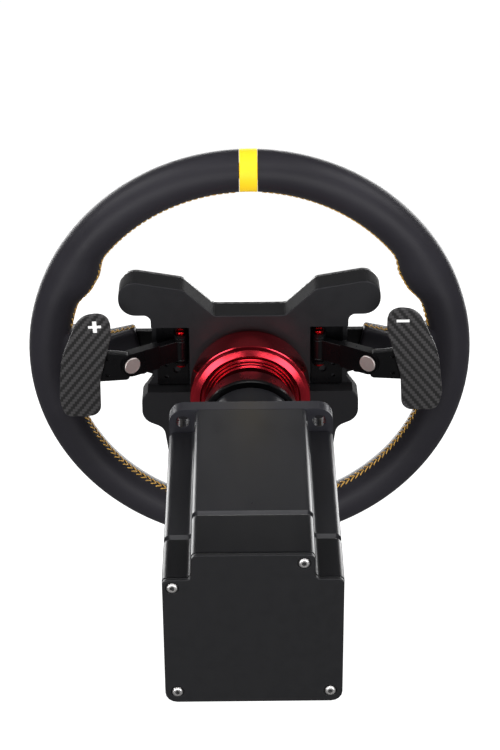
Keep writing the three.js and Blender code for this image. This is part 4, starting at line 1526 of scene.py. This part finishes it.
    def build_toggle(self, side: Side) -> None:
        """A bat-handled toggle."""
        x, z = self.toggle
        y = WHEEL_PLANE + self.panel[0] + 1.5
        profile = [(1.2, -16), (2.2, -15.5), (2.7, -14.6), (2.75, -13.6), (2.3, -9), (1.7, -3)]
        profile += [(3.2, -1.5), (3.2, 1.5), (1.2, 3), (1.2, 4.5)]
        place = (side.value * x, z)
        bat = turned(f"toggle_bat_{side.word}", moved_along(profile, y), place, segments=40)
        node = f"toggle_{side.word}"
        install(polish(bat), STEEL, node, "bare_steel", node)


# --- Paddles ---
@dataclass
class Paddle:
    """One shift paddle: its bracket, pin, lever, magnet and carbon blade, drawn for the right."""

    side: Side
    tilt: float
    rise: float
    pivot: tuple[float, float, float, float] = (48.8, 33.0, 13.3, 32.5)
    bore: float = 2.5
    ear: float = 4.9
    slope: float = 31.0
    arm: float = 48.5
    floor: float = 26.3
    blade_front: float = 58.3
    blade_thickness: float = 2.5
    magnet: tuple[float, float, float] = (83.5, 22.0, 6.0)
    corners: tuple[Corner, ...] = (
        (105.5, 67.5, 9),
        (116, 66, 14),
        (131, 33, 60),
        (135, -1, 30),
        (131, -13, 7),
        (106.5, -13, 8),
        (105, 15, 30),
        (94.7, 50, 26),
        (94.7, 67.5, 9),
    )

    @property
    def body(self) -> str:
        """The body the lever moves with."""
        return f"paddle_{self.side.word}"

    def named(self, name: str) -> str:
        """A name with the paddle's side on it."""
        return f"{name}_{self.side.word}"

    def fit(self, piece: Piece, finish: Finish, body: str, slot: str, node: str = "") -> None:
        """Puts a right-hand piece on its side and installs it.

        Args:
            piece: The piece, drawn for the right.
            finish: Its finish.
            body: The body it moves with.
            slot: Its material slot.
            node: The node it replaces, without its side.
        """
        mirrored(piece, self.side)
        install(polish(piece), finish, body, slot, *([self.named(node)] if node else []))

    def build(self) -> None:
        """Builds and dresses every piece of the paddle."""
        self.build_bracket()
        self.build_pin()
        self.build_lever()
        self.build_magnet()
        self.build_blade()

    def rod_z(self, name: str, profile: Sequence[Point], sides: int = 48) -> Piece:
        """Turns a piece about the pivot's axis from radius and height pairs, and returns it."""
        x, y = self.pivot[:2]
        return turned(name, profile, (x, y + WHEEL_PLANE), Axis.Z, sides)

    def build_bracket(self) -> None:
        """The bracket screwed to the recess floor, with an ear above and below the lever."""
        x, y, low, high = self.pivot
        y0, f, e = WHEEL_PLANE, self.floor, self.ear
        base = brick(self.named("bracket_foot"), (x - e, y0 + f, -9.4), (66, y0 + f + 1.7, 40.8))
        ears = []
        for bottom, top in ((high + GAP, high + 2.3), (low - 2.3, low - GAP)):
            shape = [(x - e, y0 + f + 1, 0), (x - e, y0 + y + e, 4.8), (x + e, y0 + y + e, 4.8)]
            shape.append((x + e, y0 + f + 1, 0))
            ears.append(traced("ear", rounded(shape), bottom, top, Axis.Z))
        fuse(base, *ears)
        spots = ((52, 2.4, 2.6), (59.5, 6.5, 1.5), (59.5, -3, 1.5))
        holes = [rod("screw_hole", r, y0, y0 + 60, (a, b), sides=28) for a, b, r in spots]
        cut(base, self.rod_z("pin_hole", [(self.bore, 0), (self.bore, 60)]), *holes)
        self.fit(soften(base, 0.3, 2, 50), BLACK_METAL, "wheel", "black_anodised", "paddle_bracket")

    def build_pin(self) -> None:
        """The pivot pin with its two hollow red caps."""
        _, _, low, high = self.pivot
        lower = [(2.6, -4.6), (3.2, -4.5), (3.6, -4.1), (3.6, -2.6), (2.2, -2.6)]
        upper = [(2.2, 2.6), (3.6, 2.6), (3.6, 4.1), (3.3, 4.5), (3.0, 4.6), (2.3, 4.6), (2.0, 3.2)]
        profile = moved_along(lower, low) + moved_along(upper, high)
        pin = self.rod_z(self.named("pivot_pin_turned"), profile)
        self.fit(pin, RED_CAP, "wheel", "red_anodised", "pivot_pin")

    def on_arm(self, reach: float, offset: float) -> Point:
        """A place on the sloping arm, as x and station."""
        angle = math.radians(self.slope)
        x = self.pivot[0] + reach * math.cos(angle) - offset * math.sin(angle)
        y = self.pivot[1] + reach * math.sin(angle) + offset * math.cos(angle)
        return x, y + WHEEL_PLANE

    def magnet_rod(self, name: str, profile: Sequence[Point], sides: int = 48) -> Piece:
        """Turns a piece square to the arm at the magnet's place.

        Args:
            name: The piece's name.
            profile: Radius and height above the arm's rear face of each ring, mm.
            sides: Points in each ring.

        Returns:
            The piece.
        """
        x, z, _ = self.magnet
        px, py = self.pivot[:2]
        reach = (x - px) / math.cos(math.radians(self.slope))
        place = (px + reach, z)
        piece = turned(name, moved_along(profile, py + WHEEL_PLANE + 3), place, Axis.Y, sides)
        centre = Vector((px, py + WHEEL_PLANE, z)) * MM
        return swung(piece, math.radians(self.slope), Axis.Z, centre)

    def build_lever(self) -> None:
        """The lever: barrel, stepped arm, magnet boss and the plate the blade is screwed to."""
        x, y, low, high = self.pivot
        mid = 17.0
        plate_corners = [(84, low - 1.8, 3), (116, low - 3.8, 3), (116, high + 2, 3), (84, high - 1, 3)]
        outer = [self.on_arm(*p) for p in ((mid, -4), (self.arm, -4), (self.arm, 3), (mid + 1.5, 3))]
        points = rounded([(a, b, 0.6) for a, b in outer])
        arm = traced(self.named("lever_arm"), points, low - 5, high + 5, Axis.Z)
        start, end, top = x + mid - 4, x + self.arm, high - 1.3
        face = [(start, low, 0), (end, low, 9.2), (end, top, 8.0), (start, top, 0)]
        side = traced("arm_side", rounded(face, 0.12), y + WHEEL_PLANE - 20, y + WHEEL_PLANE + 20)
        swung(side, math.radians(self.slope), Axis.Z, Vector((x, y + WHEEL_PLANE, 0)) * MM)
        soften(combine(arm, [side], "INTERSECT"), 0.7, 3, 50)
        inner = [self.on_arm(*p) for p in ((0, -3.4), (mid + 4, -3.4), (mid + 4, 2.4), (0, 2.4))]
        link = traced("link", rounded([(a, b, 0.4) for a, b in inner]), low + 1.2, high - 2.4, Axis.Z)
        soften(link, 0.7, 3, 50)
        bottom = [(4.2, 0), (4.7, 0.5), (4.7, 1.6), (4.4, 1.9), (4.4, 2.3), (4.7, 2.6)]
        top_rings = [(4.7, -3.0), (4.4, -2.7), (4.4, -2.3), (4.7, -2.0), (4.7, -0.5), (4.2, 0)]
        barrel = self.rod_z("barrel", moved_along(bottom, low) + moved_along(top_rings, high))
        plate = traced("plate", rounded(plate_corners), WHEEL_PLANE + 53, WHEEL_PLANE + 58)
        soften(plate, 0.6, 3, 50)
        made = fuse(arm, link, barrel, plate)
        r = self.magnet[2] + 0.3
        cut(
            made,
            self.magnet_rod("pocket", [(r, -3.4), (r, -0.3), (r + 0.8, 0.5), (r + 0.8, 4)]),
            self.rod_z("pin_bore", [(self.bore, 0), (self.bore, 60)]),
            brick("groove", (88, WHEEL_PLANE + 54.6, high + 0.2), (113, WHEEL_PLANE + 55.4, high + 3)),
        )
        for a, b in ((99.5, 15.5), (99.5, 28.5)):
            cut(made, rod("screw_recess", 1.7, WHEEL_PLANE + 56.6, WHEEL_PLANE + 60, (a, b), sides=24))
        self.fit(made, BLACK_METAL, self.body, "black_anodised", "paddle_lever")

    def build_magnet(self) -> None:
        """The bright magnet disc in the lever's boss."""
        r = self.magnet[2]
        profile = [(r, -3), (r, 0.25), (r - 0.35, 0.6), (r - 0.9, 0.6), (r - 1.1, 0.45)]
        disc = self.magnet_rod(self.named("magnet_disc"), profile)
        self.fit(disc, STEEL, self.body, "bare_steel", "paddle_magnet")

    def build_blade(self) -> None:
        """The carbon blade, with a plus or a minus cut through it."""
        y = WHEEL_PLANE + self.blade_front
        blade = traced(self.named("carbon_blade"), rounded(self.corners, 0.12), y, y + self.blade_thickness)
        soften(blade, 0.55, 3, 50)
        cut(blade, *self.mark(y - 2, y + 9))
        twill = TWILL_RIGHT if self.side is Side.RIGHT else TWILL_LEFT
        self.fit(self.set_over(blade), twill, self.body, "carbon_fibre", "paddle_blade")
        inlay, *rest = self.mark(y + 0.3, y + self.blade_thickness - 0.15)
        inlay.name = self.named("mark_inlay")
        soften(fuse(inlay, *rest), 0.12, 2, 50)
        self.fit(self.set_over(inlay), WHITE_INLAY, self.body, "black_plastic")

    def mark(self, low: float, high: float) -> list[Piece]:
        """The bars of the plus or the minus.

        Args:
            low: Station of their first face, mm.
            high: Station of their second face, mm.

        Returns:
            One bar for the minus, two for the plus.
        """
        x, z, long, thick = 105.5, 57.8, 4.5, 1.1
        bars = [brick("dash", (x - long, low, z - thick), (x + long, high, z + thick))]
        if self.side is Side.RIGHT:
            wide = thick * 1.3
            bars.append(brick("upright", (x - wide, low, z - long), (x + wide, high, z + long)))
        return bars

    def set_over(self, piece: Piece) -> Piece:
        """Tilts and lifts a piece of the blade to the driver's setting, and returns it."""
        swung(piece, math.radians(self.tilt), Axis.Y, Vector((115.0, WHEEL_PLANE, 25.0)) * MM)
        piece.location.z = self.rise * MM
        return settle(piece)


# --- Inner parts and studio ---
@dataclass
class InnerParts:
    """The parts inside the model that keep their own meshes and get a better finish."""

    finishes: dict[str, Finish] = field(
        default_factory=lambda: {
            "stator_core": STEEL,
            "stator_winding": COPPER,
            "rotor_core": STEEL,
            "encoder_magnet": STEEL,
            "front_bearing": STEEL,
            "rear_bearing": STEEL,
            "motor_shaft": STEEL,
            "rim_core_ring": STEEL,
            "controller_board": BOARD,
            "button_board_upper": BOARD,
            "button_board_lower": BOARD,
        }
    )

    def dress(self) -> None:
        """Gives each inner part its finish."""
        for node, finish in self.finishes.items():
            obj = bpy.data.objects[node]
            for slot in obj.material_slots:
                slot.material = finish.material()
            log.info("%s dressed in %s", node, finish.name)


@dataclass(frozen=True)
class SoftBox:
    """A rectangular light: its place and the point it faces in metres, its size, its power in watts."""

    name: str
    place: tuple[float, float, float]
    aim: tuple[float, float, float]
    size: Point
    power: float


SOFT_BOXES = (
    SoftBox("backdrop_box", (0.0, -2.2, -0.2), (0, 0, -0.1), (3.8, 1.4), 103.0),
    SoftBox("high_left", (1.35, -0.05, 1.45), (0, -0.1, 0), (0.9, 1.1), 17.0),
    SoftBox("high_right", (-1.35, -0.05, 1.45), (0, -0.1, 0), (0.9, 1.1), 17.0),
    SoftBox("top_box", (0.0, 1.0, 1.75), (0, 0.0, 0), (1.3, 0.5), 8.0),
    SoftBox("side_box_left", (0.88, 1.85, 0.15), (0, -0.05, 0.05), (1.2, 1.0), 19.0),
    SoftBox("side_box_right", (-0.88, 1.85, 0.15), (0, -0.05, 0.05), (1.2, 1.0), 19.0),
)


@dataclass
class Studio:
    """The camera, the soft lights and the pale floor."""

    eye: Vector = field(default_factory=lambda: Vector((0.004186, 1.150653, 0.726838)))
    right: Vector = field(default_factory=lambda: Vector((-0.99995462, 0.0068597, -0.00661031)))
    up: Vector = field(default_factory=lambda: Vector((-0.00910766, -0.4849363, 0.87450205)))
    back: Vector = field(default_factory=lambda: Vector((0.00279324, 0.87452257, 0.48497677)))
    lens: float = 98.965
    shift: Point = (0.00048, -0.02924)
    floor_level: float = -0.95
    ambient: float = 0.1

    def set_camera(self) -> None:
        """Adds the camera behind and above the motor."""
        release()
        bpy.ops.object.camera_add()
        camera = bpy.context.object
        camera.name = "studio_camera"
        turn = Matrix((self.right, self.up, self.back)).transposed().to_4x4()
        camera.matrix_world = Matrix.Translation(self.eye) @ turn
        camera.data.lens = self.lens
        camera.data.sensor_width = 36.0
        camera.data.shift_x, camera.data.shift_y = self.shift
        bpy.context.scene.camera = camera
        log.info("camera at %s", tuple(round(part, 3) for part in self.eye))

    def light(self, box: SoftBox) -> None:
        """Adds one soft box.

        Args:
            box: What it is and where it hangs.
        """
        release()
        bpy.ops.object.light_add(type="AREA", location=box.place)
        lamp = bpy.context.object
        lamp.name = box.name
        lamp.data.shape = "RECTANGLE"
        lamp.data.size, lamp.data.size_y = box.size
        lamp.data.energy = box.power
        lamp.visible_camera = False
        beam = Vector(box.aim) - Vector(box.place)
        lamp.rotation_euler = beam.to_track_quat("-Z", "Y").to_euler()

    def set_sky(self) -> None:
        """Sets a sky that looks white and lights the object only dimly."""
        world = bpy.context.scene.world or bpy.data.worlds.new("studio_world")
        bpy.context.scene.world = world
        world.use_nodes = True
        tree = world.node_tree
        sky = tree.nodes["Background"]
        sky.inputs["Color"].default_value = (1.0, 1.0, 1.0, 1.0)
        seen = tree.nodes.new("ShaderNodeLightPath").outputs["Is Camera Ray"]
        strength = tree.nodes.new("ShaderNodeMapRange")
        strength.inputs["To Min"].default_value = self.ambient
        strength.inputs["To Max"].default_value = 1.0
        tree.links.new(seen, strength.inputs["Value"])
        tree.links.new(strength.outputs["Result"], sky.inputs["Strength"])

    def build(self) -> None:
        """Adds the lights, the sky and the floor."""
        for box in SOFT_BOXES:
            self.light(box)
        self.set_sky()
        bpy.context.scene.view_settings.view_transform = "Standard"
        release()
        place = (0, 0, self.floor_level)
        bpy.ops.mesh.primitive_grid_add(x_subdivisions=4, y_subdivisions=4, size=40, location=place)
        floor = settle(bpy.context.object)
        floor.name = "studio_floor"
        FLOOR_PAINT.dress(floor)


def main() -> None:
    """Builds the scene in order."""
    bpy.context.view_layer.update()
    studio = Studio()
    studio.set_camera()
    studio.build()
    MotorBase().build()
    QuickRelease().build()
    Rim().build()
    spokes = SpokeFrame()
    spokes.build()
    ButtonBox().build(spokes)
    Paddle(Side.RIGHT, tilt=2.2, rise=-3.0).build()
    Paddle(Side.LEFT, tilt=0.0, rise=0.0).build()
    InnerParts().dress()
    release()
    bpy.context.view_layer.update()


if __name__ == "__main__":
    main()
